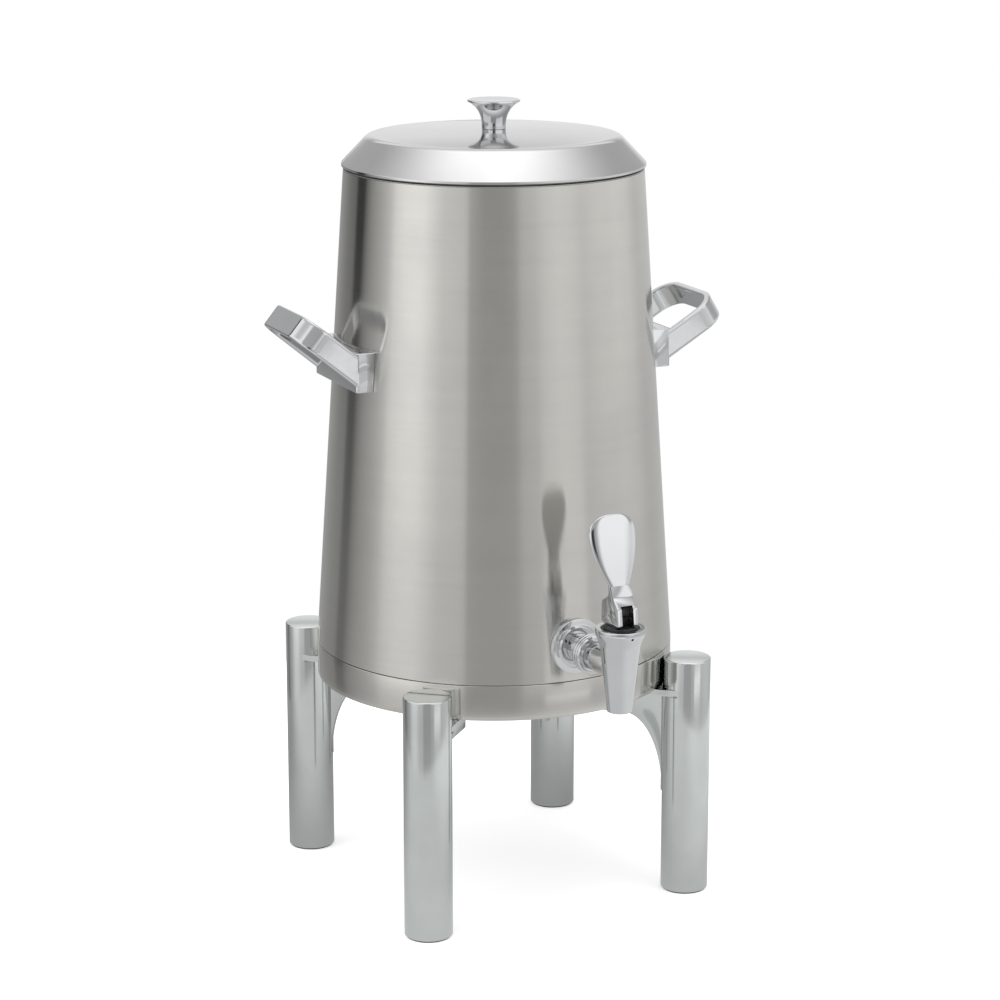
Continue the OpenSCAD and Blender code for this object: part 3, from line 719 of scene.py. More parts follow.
class ShapeTree:
    """A Geometry Nodes tree with named inputs, frozen into a plain mesh when its work is done."""

    def __init__(self, name: str) -> None:
        """Starts an empty tree with a geometry input and output."""
        self.tree = bpy.data.node_groups.new(name, "GeometryNodeTree")
        face = self.tree.interface
        face.new_socket(name="Geometry", in_out="INPUT", socket_type="NodeSocketGeometry")
        face.new_socket(name="Geometry", in_out="OUTPUT", socket_type="NodeSocketGeometry")
        self.start = self.tree.nodes.new("NodeGroupInput")
        self.values: dict[str, Any] = {}

    def size(self, name: str, value: Any, kind: str = "NodeSocketFloat") -> Socket:
        """Adds a named input.

        Args:
            name: Name of the input.
            value: Value that it is set to on the modifier.
            kind: Type name of its socket.

        Returns:
            The socket inside the tree.
        """
        socket = self.tree.interface.new_socket(name=name, in_out="INPUT", socket_type=kind)
        self.values[socket.identifier] = value
        return self.start.outputs[name]

    def node(self, kind: str, settings: dict[str, Any] | None = None, **inputs: Any) -> Socket:
        """Adds a node to the tree and returns its first output."""
        return wired(self.tree, kind, settings, **inputs)

    def freeze(self, name: str, result: Socket, finish: Finish, host: Mesh) -> Mesh:
        """Ends the tree, runs it on a host mesh and freezes the result.

        Args:
            name: Name of the frozen mesh.
            result: Geometry that the tree has made.
            finish: Finish that Set Material gives it.
            host: Mesh that the tree starts from, used up by the call.

        Returns:
            A plain mesh.
        """
        real = self.node("GeometryNodeRealizeInstances", Geometry=result)
        dressed = self.node("GeometryNodeSetMaterial", Geometry=real, Material=finish.material())
        add_node(self.tree, "NodeGroupOutput", i0=dressed)
        holder = hold(name, host)
        modifier = holder.modifiers.new(name, "NODES")
        modifier.node_group = self.tree
        for identifier, value in self.values.items():
            modifier[identifier] = value
        return evaluated_mesh(holder, name)


def tapered_sheet(name: str, low: Point, high: Point, wall: float, finish: Finish) -> Mesh:
    """Rolls a sheet into a tapered wall, as a tree of its own.

    Args:
        name: Name of the wall.
        low: Outer radius and height of its lower edge.
        high: Outer radius and height of its upper edge.
        wall: Thickness, inwards.
        finish: What it is made of.

    Returns:
        The wall as a closed mesh about the Z axis.
    """
    shape = ShapeTree(name)
    cone = shape.node(
        "GeometryNodeMeshCone",
        {"fill_type": "NONE"},
        Vertices=shape.size("Sides", 256, "NodeSocketInt"),
        Side_Segments=shape.size("Rows", 12, "NodeSocketInt"),
        Radius_Top=shape.size("Upper radius", high[0] * MM),
        Radius_Bottom=shape.size("Lower radius", low[0] * MM),
        Depth=shape.size("Height", (high[1] - low[1]) * MM),
    )
    placed = shape.node("GeometryNodeTransform", Geometry=cone, Translation=(0.0, 0.0, low[1] * MM))
    smooth = shape.node("GeometryNodeSetShadeSmooth", Geometry=placed)
    mesh = shape.freeze(name, smooth, finish, bpy.data.meshes.new("sheet_host"))
    holder = hold(name, mesh)
    thick = holder.modifiers.new("wall", "SOLIDIFY")
    thick.thickness = wall * MM
    thick.offset = -1.0
    thick.use_even_offset = True
    result = evaluated_mesh(holder, name)
    result.set_sharp_from_angle(angle=math.radians(40.0))
    return result


def spread_copies(name: str, part: Mesh, spots: Sequence[Vector], finish: Finish) -> Mesh:
    """Sets one small part at each of several spots, each turned by chance about Z.

    Args:
        name: Name of the set.
        part: The part, at the origin.
        spots: Places in metres.
        finish: What it is made of.

    Returns:
        One plain mesh with all copies.
    """
    source = hold(name + "_part", part)
    host = bpy.data.meshes.new(name + "_spots")
    host.from_pydata([tuple(s) for s in spots], [], [])
    shape = ShapeTree(name)
    chosen = shape.size("Part", source, "NodeSocketObject")
    item = add_node(shape.tree, "GeometryNodeObjectInfo", Object=chosen).outputs["Geometry"]
    turn = shape.node(
        "FunctionNodeRandomValue",
        {"data_type": "FLOAT_VECTOR"},
        i0=(0.0, 0.0, 0.0),
        i1=(0.0, 0.0, math.tau),
        Seed=shape.size("Seed", 7, "NodeSocketInt"),
    )
    points = shape.start.outputs["Geometry"]
    copies = shape.node("GeometryNodeInstanceOnPoints", Points=points, Instance=item, Rotation=turn)
    mesh = shape.freeze(name, copies, finish, host)
    bpy.data.objects.remove(source)
    return softened(mesh)


def weld_bead(name: str, path: Sequence[Vector], radius: float, finish: Finish) -> Mesh:
    """Lays a rippled weld bead along a path, as a tree of its own.

    Args:
        name: Name of the bead.
        path: Points in metres.
        radius: Radius of the bead in millimetres.
        finish: What it is made of.

    Returns:
        The bead as a plain mesh.
    """
    host = bpy.data.meshes.new(name + "_path")
    count = len(path)
    edges = [(i, i + 1) for i in range(count - 1)]
    host.from_pydata([tuple(p) for p in path], edges, [])
    shape = ShapeTree(name)
    line = shape.node("GeometryNodeMeshToCurve", Mesh=shape.start.outputs["Geometry"])
    ripples = shape.size("Ripples", max(12, count * 6), "NodeSocketInt")
    even = shape.node("GeometryNodeResampleCurve", Curve=line, Count=ripples)
    thick = shape.size("Bead radius", radius * MM)
    ring = shape.node("GeometryNodeCurvePrimitiveCircle", Resolution=8, Radius=thick)
    tube = shape.node("GeometryNodeCurveToMesh", Curve=even, Profile_Curve=ring, Fill_Caps=True)
    noise = {"W": shape.size("Seed", 3.0), "Scale": 420.0, "Detail": 1.0}
    ripple = shape.node("ShaderNodeTexNoise", {"noise_dimensions": "4D"}, **noise)
    push = ranged(shape.tree, ripple, (0.0, 1.0), (-0.25 * MM, 0.2 * MM))
    offset = scaled(shape.tree, shape.node("GeometryNodeInputNormal"), push)
    rough = shape.node("GeometryNodeSetPosition", Geometry=tube, Offset=offset)
    mesh = shape.freeze(name, rough, finish, host)
    mesh.shade_smooth()
    return mesh


def coil(
    name: str, radius: float, wire: float, low: float, high: float, turns: float, finish: Finish
) -> Mesh:
    """Winds a spring about the Z axis, as a tree of its own.

    Args:
        name: Name of the spring.
        radius: Mean radius of its turns in millimetres.
        wire: Radius of its wire.
        low: Height of the lower end.
        high: Height of the upper end.
        turns: How many turns it has.
        finish: What it is made of.

    Returns:
        The spring as a closed mesh.
    """
    shape = ShapeTree(name)
    line = shape.node(
        "GeometryNodeCurveSpiral",
        Resolution=28,
        Rotations=shape.size("Turns", turns),
        Start_Radius=shape.size("Start radius", radius * MM),
        End_Radius=shape.size("End radius", radius * MM),
        Height=shape.size("Height", (high - low) * MM),
    )
    thick = shape.size("Wire radius", wire * MM)
    ring = shape.node("GeometryNodeCurvePrimitiveCircle", Resolution=12, Radius=thick)
    tube = shape.node("GeometryNodeCurveToMesh", Curve=line, Profile_Curve=ring, Fill_Caps=True)
    lifted = shape.node("GeometryNodeTransform", Geometry=tube, Translation=(0.0, 0.0, low * MM))
    mesh = shape.freeze(name, lifted, finish, bpy.data.meshes.new("coil_host"))
    mesh.shade_smooth()
    return mesh


# Body


@dataclass
class Vessel:
    """Double-walled body: the tapered shell, the liner with its flange, the base ring and the base plate."""

    base_r: float = 144.3
    top_r: float = 119.0
    seam_z: float = 200.5
    mouth_z: float = 583.5
    under_z: float = 172.0
    wall: float = 1.2
    gap: float = 6.0
    liner: float = 1.0
    seam: float = 0.8
    collar_h: float = 11.0
    hem_h: float = 3.0
    hem_in: float = 0.1
    floor_up: float = 6.0
    dish_r: float = 30.0
    dish: float = 3.0
    plate_t: float = 2.0
    plate_rim: float = 9.5
    bead_low: float = 42.0
    bead_high: float = 68.0
    bead_run: float = 2.0
    bead_h: float = 0.7
    sides: int = 192
    plate_sides: int = 144

    def radius(self, height: float) -> float:
        """Outer radius of the shell at a height."""
        share = (height - self.seam_z) / (self.mouth_z - self.seam_z)
        return self.base_r + (self.top_r - self.base_r) * share

    def bore(self, height: float) -> float:
        """Inner radius of the liner at a height."""
        return self.radius(height) - self.wall - self.gap - self.liner

    def build(self) -> None:
        """Makes every piece of the body."""
        low = self.seam_z + self.seam / 2
        ends = [(self.radius(z), z) for z in (low, self.mouth_z)]
        shell = tapered_sheet("outer_shell_skin", *ends, self.wall, BRUSHED_SHELL)
        put("outer_shell_skin", moved(shell, at_axis()), BRUSHED_SHELL, ["outer_shell"])
        put("base_ring_skin", moved(self.ring(), at_axis()), BRUSHED_RING, ["base_ring"])
        put("liner_vessel", moved(self.vessel(), at_axis()), DRAWN_STEEL, ["inner_liner"])
        put("base_plate_pressing", moved(self.plate(), at_axis()), DRAWN_STEEL, ["base_plate"])

    def ring(self) -> Mesh:
        """Base ring with a rounded top edge, a hemmed foot and the inner collar of the seam."""
        low, top = self.under_z, self.seam_z - self.seam / 2
        collar_top = self.seam_z + self.collar_h
        collar = self.radius(collar_top) - self.wall - SEAT
        inner = self.base_r - self.wall
        corners = [
            (inner, low, 0.4), (self.base_r - self.hem_in, low, 0.9), (self.base_r, low + self.hem_h, 0.6),
            (self.base_r, top, 0.5), (collar, top, 0.0), (collar, collar_top, 0.3),
            (collar - self.wall, collar_top, 0.3), (collar - self.wall, top - self.collar_h, 0.5),
            (inner, top - self.collar_h - self.wall, 0.5),
        ]
        return spun("base_ring_skin", corners, True, 3, self.sides)

    def vessel(self) -> Mesh:
        """Liner with a dished floor, a rounded floor edge and a rolled flange over the shell's mouth."""
        floor, rim = self.seam_z + self.floor_up, self.mouth_z + self.liner
        low, high = (self.bore(z) + self.liner for z in (floor, self.mouth_z))
        middle = floor - self.dish
        corners = [
            (0.0, middle, 0.0), (self.dish_r, middle, 8.0), (low, floor, 4.0), (high, self.mouth_z, 0.5),
            (self.top_r, self.mouth_z, 0.3), (self.top_r, rim, 0.6), (self.bore(rim), rim, 1.6),
            (self.bore(floor), floor + self.liner, 3.5), (self.dish_r, middle + self.liner, 8.0),
            (0.0, middle + self.liner, 0.0),
        ]
        return spun("liner_vessel", corners, False, 5, self.sides)

    def plate(self) -> Mesh:
        """Pressed plate with a faint stiffening step and a turned-up rim."""
        low, inside = self.under_z, self.under_z + self.plate_t
        rim, raised = low + self.plate_rim, low + self.bead_h
        out = self.base_r - self.wall - SEAT
        corners = [
            (0.0, low, 0.0), (self.bead_low, low, 2.0), (self.bead_low + self.bead_run, raised, 2.0),
            (self.bead_high - self.bead_run, raised, 2.0), (self.bead_high, low, 2.0),
            (out, low, 4.0), (out, rim, 0.5), (out - self.plate_t, rim, 0.5),
            (out - self.plate_t, inside, 3.0), (0.0, inside, 0.0),
        ]
        return spun("base_plate_pressing", corners, False, 4, self.plate_sides)


@dataclass
class BaseCup:
    """Small shallow cup that hangs under the middle of the base, with its screw."""

    under_z: float = 172.0
    depth: float = 41.5
    top_r: float = 24.0
    low_r: float = 20.0
    flat_r: float = 13.0
    bend_r: float = 7.0
    hole_r: float = 3.4
    wall: float = 1.5
    screw_r: float = 3.0
    head_r: float = 5.2
    head_h: float = 1.4
    screw_len: float = 46.5

    def build(self) -> None:
        """Makes the cup and its screw."""
        low = self.under_z - self.depth
        put("base_cup_dish", moved(self.dish(low), at_axis()), POLISHED_STEEL, ["base_cup"])
        screw = moved(self.screw(), at_axis(up=low + self.wall + self.head_h))
        put("base_cup_fastener", screw, ZINC, ["base_cup_screw"])

    def dish(self, low: float) -> Mesh:
        """Cup with a bend round its foot.

        Args:
            low: Height of its underside.

        Returns:
            The cup about the Z axis.
        """
        inside, bend_z = low + self.wall, low + self.bend_r
        outline = [(self.hole_r, low), (self.flat_r, low)]
        outline += arc((self.flat_r, bend_z), self.bend_r, -80.0, -12.0, 8)
        outline += [(self.top_r, self.under_z), (self.top_r - self.wall, self.under_z)]
        outline += [(self.low_r - self.wall, bend_z), (self.flat_r - 0.6, inside), (self.hole_r, inside)]
        return lathe("base_cup_dish", outline, True)

    def screw(self) -> Mesh:
        """Screw with a domed head, seen from below, its shank going up."""
        dome = [(0.0, self.head_h), (3.0, 1.3), (4.4, 0.8), (self.head_r, 0.0), (self.head_r, -0.6)]
        shank = [(self.screw_r, -1.0), (self.screw_r, 0.5 - self.screw_len), (0.0, -self.screw_len)]
        return lathe("base_cup_fastener", [(r, -h) for r, h in dome + shank], False, 48)


@dataclass
class Stand:
    """Four tube legs with their glides, brackets, welds and screws."""

    leg_r: float = 19.05
    ring_r: float = 163.45
    top_z: float = 196.0
    glide: float = 1.2
    under_z: float = 172.0
    plate: float = 5.0
    web: float = 5.0
    inner: float = 80.0
    drop: float = 22.0
    curve_h: float = 65.0
    curve_run: float = 32.4
    screw_ring: float = 112.0
    screw_side: float = 11.0
    tube_wall: float = 1.6
    top_wall: float = 2.0
    base_t: float = 2.0
    plug_h: float = 14.0
    weld_r: float = 1.1
    screw_r: float = 3.0
    screw_len: float = 13.2
    socket_r: float = 2.0
    nut_r: float = 5.8
    nut_h: float = 5.0

    def build(self) -> None:
        """Makes the four corners, then all screws and nuts as two sets."""
        for corner in Quarter:
            self.corner(corner)
        spots = [
            at_axis(c.value) @ (Vector((self.screw_ring, s * self.screw_side, 0.0)) * MM)
            for c in Quarter
            for s in (-1, 1)
        ]
        low = Vector((0.0, 0.0, self.under_z - self.plate)) * MM
        screws = spread_copies("bracket_screw_set", self.screw(), [s + low for s in spots], ZINC)
        put("bracket_screw_set", screws, ZINC, ["bracket_screws"])
        high = Vector((0.0, 0.0, self.under_z + self.base_t)) * MM
        nuts = spread_copies("bracket_nut_set", self.nut(), [s + high for s in spots], ZINC)
        put("bracket_nut_set", nuts, ZINC, ["bracket_nuts"])

    def corner(self, corner: Quarter) -> None:
        """Makes one leg with its glide, bracket and welds.

        Args:
            corner: Quarter of the stand that it stands in.
        """
        name = corner.name
        place = at_axis(corner.value, self.ring_r)
        put(f"leg_tube_{name}", moved(self.tube(), place), POLISHED_STEEL, [f"leg_{name}"])
        put(f"glide_plug_{name}", moved(self.plug(), place), BLACK_RUBBER, [f"glide_{name}"])
        bracket = moved(self.bracket(), at_axis(corner.value))
        put(f"bracket_arm_{name}", bracket, POLISHED_STEEL, [f"bracket_{name}"])
        for part, path in self.weld_paths().items():
            spots = [at_axis(corner.value) @ (Vector(p) * MM) for p in path]
            bead = weld_bead(f"weld_{part}_{name}", spots, self.weld_r, DRAWN_STEEL)
            put(f"weld_{part}_{name}", bead, DRAWN_STEEL)

    def tube(self) -> Mesh:
        """Leg tube with a closed flat top, its edge broken by the polishing wheel."""
        r, low, bore = self.leg_r, self.glide, self.leg_r - self.tube_wall
        corners = [(bore, low, 0.3), (r, low, 0.7), (r, self.top_z, 1.3), (0.0, self.top_z, 0.0)]
        inside = [(0.0, self.top_z - self.top_wall), (bore, self.top_z - self.top_wall)]
        return lathe("leg_tube", rounded(corners, False, 5) + inside, True)

    def plug(self) -> Mesh:
        """Glide pressed into the leg's foot."""
        r, face, top = self.leg_r - self.tube_wall - SEAT, self.leg_r - 1.1, self.glide + self.plug_h
        corners = [
            (0.0, 0.0, 0.0), (face, 0.0, 0.8), (face, self.glide, 0.2), (r, self.glide, 0.0),
            (r, top, 0.8), (0.0, top, 0.0),
        ]
        return spun("glide_plug", corners, False, 4)

    def bracket(self) -> Mesh:
        """Flat plate and upright web, both fitted round the leg, with softly broken edges."""
        top, edge = self.under_z - self.plate, self.ring_r - self.leg_r
        half = self.leg_r - SHAFT
        nose = arc((self.ring_r, 0.0), self.leg_r + SEAT, 94.0, 266.0, 24)
        flat = [(self.inner, half), *nose, (self.inner, -half)]
        plate = bevelled(prism("plate", flat, top, self.under_z), 0.5)
        low = top - self.drop
        start = edge - self.curve_run
        side = [(self.inner, top), (edge, top), (edge, low - self.curve_h)]
        side += [
            (start + self.curve_run * math.sin(a), low - self.curve_h * (1.0 - math.cos(a)))
            for a in (math.radians(90.0 - 90.0 * i / 20) for i in range(1, 21))
        ]
        side += [(self.inner, low)]
        web = prism("web", side, -self.web / 2, self.web / 2)
        web.transform(Matrix.Rotation(math.radians(90.0), 4, "X"))
        return joined("bracket", [plate, bevelled(web, 0.5)], 30.0)

    def weld_paths(self) -> dict[str, list[tuple[float, float, float]]]:
        """Paths of the welds between leg and web, and between leg and plate."""
        edge = self.ring_r - self.leg_r
        top = self.under_z - self.plate
        length = self.drop + self.curve_h - 2.0
        side, steps, fit = self.web / 2, 14, self.leg_r + SEAT
        upright = {
            name: [(edge + SEAT, s * side, top - length * i / steps) for i in range(steps + 1)]
            for name, s in (("left", 1), ("right", -1))
        }
        round_leg = [
            (self.ring_r - fit * math.cos(a), fit * math.sin(a), top)
            for a in (math.radians(-80.0 + 160.0 * i / 20) for i in range(21))
        ]
        return {**upright, "plate": round_leg}

    def screw(self) -> Mesh:
        """Dome-headed screw with a hexagon socket, head down."""
        r, end = self.screw_r, self.screw_len
        dome = [(0.0, -3.2), (1.4, -3.2), (3.4, -2.7), (4.7, -1.6), (5.2, -0.4), (5.2, 0.0)]
        shank = [(r, 0.0), (r, end - 0.4), (r - 0.4, end), (0.0, end)]
        body = lathe("screw", dome + shank, False, 32)
        return cut(body, [prism("socket", hexagon(self.socket_r), -4.0, -1.2)])

    def nut(self) -> Mesh:
        """Hexagonal nut."""
        block = prism("nut", hexagon(self.nut_r), 0.0, self.nut_h)
        hole = rod("hole", self.screw_r + SHAFT, -1.0, self.nut_h + 1.0)
        return bevelled(cut(block, [hole]), 0.35)


# Handles


@dataclass
class StrapHandle:
    """One handle: a foot on the shell and a flat strap bent round in a plane that rises outwards."""

    vessel: Vessel
    side: Side
    width: float = 90.0
    mid_z: float = 436.5
    foot_h: float = 31.0
    foot_out: float = 6.8
    loop_up: float = 2.5
    lap: float = 2.0
    foot_over: float = 0.4
    reach: float = 55.5
    root: float = 22.0
    strap_w: float = 19.5
    strap_t: float = 5.3
    edge_r: float = 2.2
    edge_hold: float = 2.7
    corner_r: float = 22.0
    screw_turn: float = 11.0

    @property
    def face(self) -> float:
        """Distance of the foot's face from the urn's axis."""
        return self.vessel.radius(self.mid_z) + self.foot_out

    @property
    def rise(self) -> float:
        """Slope of the loop in degrees. The right one lies flatter, as on the urn in the photograph."""
        return 39.5 if self.side is Side.LEFT else 31.0

    def build(self) -> None:
        """Makes the handle and its screws."""
        name = self.side.name.lower()
        place = at_axis(self.side.value)
        handle = joined("handle_strap", [self.foot(), self.strap()], 32.0)
        put(f"handle_strap_{name}", moved(handle, place), CHROME, [f"handle_{name}"])
        turns = (-self.screw_turn, self.screw_turn)
        screws = joined("handle_fasteners", [self.screw(turn) for turn in turns])
        put(f"handle_fasteners_{name}", moved(screws, place), ZINC, [f"handle_screws_{name}"])

    def foot(self) -> Mesh:
        """Foot whose back follows the tapered shell."""
        half, steps = self.width / 2 + self.foot_over, 6
        rings = []
        for z in (self.mid_z - self.foot_h / 2, self.mid_z + self.foot_h / 2):
            radius = self.vessel.radius(z) + SEAT
            edge = math.degrees(math.asin(half / radius))
            back = arc((0.0, 0.0), radius, -edge, edge, 24)
            corners = [(self.face, half, 3.0), (self.face, -half, 3.0)]
            corners += [(back[0][0], -half, 0.0), (back[0][0], half, 0.0)]
            front = rounded(corners, True, steps)[: 2 * (steps + 1)]
            rings.append([Vector((x, y, z)) * MM for x, y in back + front])
        return bevelled(loft("foot", rings, 25.0), 0.6, 40.0)

    def section(self) -> list[Point]:
        """Strap's section with rounded edges, and with points beside them that keep its faces flat."""
        thick, wide, edge = self.strap_t / 2, self.strap_w / 2, self.edge_r
        held = wide - self.edge_hold
        corners = [
            (-thick, -wide, edge), (thick, -wide, edge), (thick, -held, 0.0), (thick, held, 0.0),
            (thick, wide, edge), (-thick, wide, edge), (-thick, held, 0.0), (-thick, -held, 0.0),
        ]
        return rounded(corners, True, 5)

    def strap(self) -> Mesh:
        """Strap swept round its loop."""
        half, turn = (self.width - self.strap_t) / 2, self.corner_r - self.strap_t / 2
        tip = self.reach - self.strap_t / 2
        corners = [(-self.root, half, 0.0), (tip, half, turn), (tip, -half, turn), (-self.root, -half, 0.0)]
        path = rounded(corners, False, 14)
        slope = math.radians(self.rise)
        along = Vector((math.cos(slope), 0.0, math.sin(slope)))
        wide = Vector((-math.sin(slope), 0.0, math.cos(slope)))
        base = Vector((self.face, 0.0, self.mid_z + self.loop_up))
        section = self.section()
        rings = []
        for i, spot in enumerate(path):
            before, after = path[max(i - 1, 0)], path[min(i + 1, len(path) - 1)]
            heading = (Vector(after) - Vector(before)).normalized()
            normal = Vector((heading.y, -heading.x))
            ring = []
            for off, across in section:
                p, t = spot[0] - normal.x * off, spot[1] - normal.y * off
                ring.append((base + along * p + Vector((0.0, t, 0.0)) + wide * across) * MM)
            rings.append(ring)
        for end in (0, -1):
            rings[end] = [self.into_foot(p) for p in rings[end]]
        return loft("strap", rings, 32.0)

    def into_foot(self, spot: Vector) -> Vector:
        """Slides an end point of the strap along its slope until it lies just inside the foot's face."""
        slope = math.radians(self.rise)
        along = Vector((math.cos(slope), 0.0, math.sin(slope)))
        return spot + along * (((self.face - self.lap) * MM - spot.x) / along.x)

    def screw(self, turn: float) -> Mesh:
        """Screw that holds the foot from inside the shell.

        Args:
            turn: Its direction in degrees from the middle of the handle.

        Returns:
            The screw in its place.
        """
        inner = self.vessel.radius(self.mid_z) - self.vessel.wall - 0.3
        head = [(0.0, -2.8), (2.4, -2.8), (4.1, -2.0), (4.5, -0.8), (4.5, 0.0)]
        shank = [(2.5, 0.0), (2.5, 6.5), (0.0, 6.5)]
        body = moved(lathe("handle_screw", head + shank, False, 32), ALONG_X)
        inside = Matrix.Translation(Vector((inner, 0.0, self.mid_z)) * MM)
        return moved(body, Matrix.Rotation(math.radians(turn), 4, "Z") @ inside)


# Tap


@dataclass
class Tap:
    """Flange, shank, coupling nut, cup with its spout, bonnet and what the shank carries inside."""

    vessel: Vessel
    shank_z: float = 228.2
    shank_r: float = 11.0
    shank_in: float = 17.0
    passage_r: float = 5.5
    flange_r: float = 22.0
    flange_t: float = 5.0
    flange_rim: float = 3.0
    flange_back: float = 2.6
    flange_step: float = 0.72
    coupling_r: float = 15.5
    coupling_len: float = 10.0
    coupling_out: float = 21.0
    coupling_edge: float = 1.2
    groove: float = 0.45
    grooves: tuple[float, float] = (3.4, 6.6)
    spout_down: float = 33.2
    seat_down: float = 14.0
    seat_t: float = 3.6
    seat_r: float = 5.6
    chamber_r: float = 9.5
    neck_up: float = 17.5
    rim_up: float = 32.8
    rim_band: float = 3.2
    rim_r: float = 19.3
    neck_r: float = 15.4
    spout_r: float = 9.8
    outlet_r: float = 7.6
    lip_r: float = 15.0
    lip_h: float = 5.0
    thread_r: float = 12.6
    thread_h: float = 9.0
    stub_short: float = 9.8
    vent_r: float = 1.0
    vent_out: float = 14.0
    bonnet_r: float = 14.9
    bonnet_face_r: float = 13.0
    bonnet_flange: float = 4.0
    bonnet_over: float = 1.6
    stem_bore: float = 3.25
    nut_flats: float = 32.0
    nut_h: float = 7.0
    washer_t: float = 2.0
    spring_r: float = 5.3
    wire_r: float = 0.7
    spring_low: float = 223.7
    spring_high: float = 246.2
    spring_turns: float = 5.0
    spring_top: float = 247.0
    spring_keep: float = 0.872

    @property
    def wall(self) -> float:
        """Radius of the shell at the shank."""
        return self.vessel.radius(self.shank_z)

    @property
    def joint(self) -> float:
        """Distance of the joint under the coupling nut from the urn's axis."""
        return self.wall + self.coupling_out + self.coupling_len / 2

    def build(self) -> None:
        """Makes every piece of the tap that stays still, and its spring."""
        put("tap_flange_rings", self.flange(), CHROME, ["tap_flange"])
        put("tap_shank_tube", self.shank(), CHROME, ["tap_shank"])
        put("tap_coupling_nut", self.coupling(), CHROME, ["tap_coupling"])
        put("tap_cup", self.cup(), CHROME, ["tap_body"])
        put("tap_bonnet_cap", self.bonnet(), BLACK_PLASTIC, ["tap_bonnet"])
        put("shank_back_nut", self.back_nut(), ZINC, ["shank_nut"])
        ends = (self.spring_low, self.spring_high)
        spring = coil("valve_coil", self.spring_r, self.wire_r, *ends, self.spring_turns, WIRE)
        piece = put("valve_coil", moved(spring, at_tap()), WIRE, ["valve_spring"])
        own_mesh(piece)

    def flange(self) -> Mesh:
        """Round flange turned in two steps, its back fitted to the shell."""
        bore, step = self.shank_r + SHAFT, self.flange_r * self.flange_step
        corners = [
            (bore, 0.9, 0.0), (self.flange_r, 2.1, 0.0), (self.flange_r, self.flange_rim, 0.8),
            (step + 1.4, 3.6, 1.2), (step, self.flange_t, 0.7), (bore, self.flange_t, 0.3),
        ]
        mesh = spun("flange", corners, True, 4)
        for vertex in mesh.vertices:
            if vertex.co.z < self.flange_back * MM:
                vertex.co.z = self.off_shell(vertex.co.x / MM, vertex.co.y / MM) * MM
        return moved(mesh, along_tap(self.wall, self.shank_z))

    def off_shell(self, x: float, y: float) -> float:
        """Distance in front of the flange's middle at which the tapered shell lies, with its clearance."""
        radius = self.vessel.radius(self.shank_z + y) + SEAT
        return math.sqrt(radius * radius - x * x) - self.wall

    def shank(self) -> Mesh:
        """Threaded shank, bored through."""
        inner = self.vessel.bore(self.shank_z) - self.shank_in
        length = self.joint - inner
        corners = [
            (self.passage_r, 0.0, 0.4), (self.shank_r, 0.0, 0.8), (self.shank_r, length, 0.3),
            (self.passage_r, length, 0.3),
        ]
        return moved(spun("shank", corners, True, 3, 64), along_tap(inner, self.shank_z))

    def coupling(self) -> Mesh:
        """Turned coupling nut with two grip grooves."""
        r, length, bore, edge = self.coupling_r, self.coupling_len, self.shank_r + SHAFT, self.coupling_edge
        corners = [(bore, 0.0, 0.2), (r - edge, 0.0, 0.6), (r, edge, 0.5)]
        for height in self.grooves:
            corners += [(r, height - 0.5, 0.2), (r - self.groove, height, 0.2), (r, height + 0.5, 0.2)]
        corners += [(r, length - edge, 0.5), (r - edge, length, 0.6), (bore, length, 0.2)]
        place = along_tap(self.wall + self.coupling_out, self.shank_z)
        return moved(spun("coupling", corners, True, 3), place)

    def cup(self) -> Mesh:
        """Cup and spout as one casting, with the side stub, the seat and the small vent in front."""
        cup = moved(lathe("cup", self.cup_outline(), True, 128), at_tap())
        start = self.joint + SEAT
        reach = TAP_REACH - start
        end = reach - self.stub_short
        corners = [(0.0, 0.0, 0.0), (self.shank_r, 0.0, 0.3), (self.shank_r, end, 0.0), (0.0, end, 0.0)]
        stub = moved(spun("stub", corners, False, 3, 64), along_tap(start, self.shank_z))
        whole = cut(cup, [stub], "UNION")
        passage = moved(rod("passage", self.passage_r, 0.0, reach, 48), along_tap(start - 1.0, self.shank_z))
        vent_z = self.shank_z + self.rim_up - self.lip_h
        vent = moved(rod("vent", self.vent_r, 0.0, 8.0, 24), along_tap(TAP_REACH + self.vent_out, vent_z))
        return cut(whole, [passage, vent])

    def cup_outline(self) -> list[Point]:
        """Closed outline of cup and spout in radius and height, from the outlet up and back down inside."""
        z = self.shank_z
        spout, neck, rim, seat = z - self.spout_down, z + self.neck_up, z + self.rim_up, z - self.seat_down
        band, lip, thread = rim - self.rim_band, rim - self.lip_h, rim - self.lip_h - self.thread_h
        foot = [(self.outlet_r, spout, 0.5), (self.spout_r, spout, 0.9), (self.neck_r, neck, 0.0)]
        handles = (self.neck_r + 0.7, neck + 5.0), (self.rim_r - 0.6, neck + 8.0)
        flare = bezier((self.neck_r, neck), *handles, (self.rim_r, band), 12)
        mouth = [
            (self.rim_r, band, 0.0), (self.rim_r, rim, 0.8), (self.lip_r, rim, 0.6), (self.lip_r, lip, 0.3),
            (self.thread_r, lip, 0.0),
        ]
        inside = [
            (self.thread_r, thread), (self.chamber_r, thread), (self.chamber_r, seat), (self.seat_r, seat),
            (self.seat_r, seat - self.seat_t), (self.outlet_r, seat - self.seat_t),
        ]
        return rounded(foot, False, 4)[:-1] + flare + rounded(mouth, False, 4)[1:] + inside

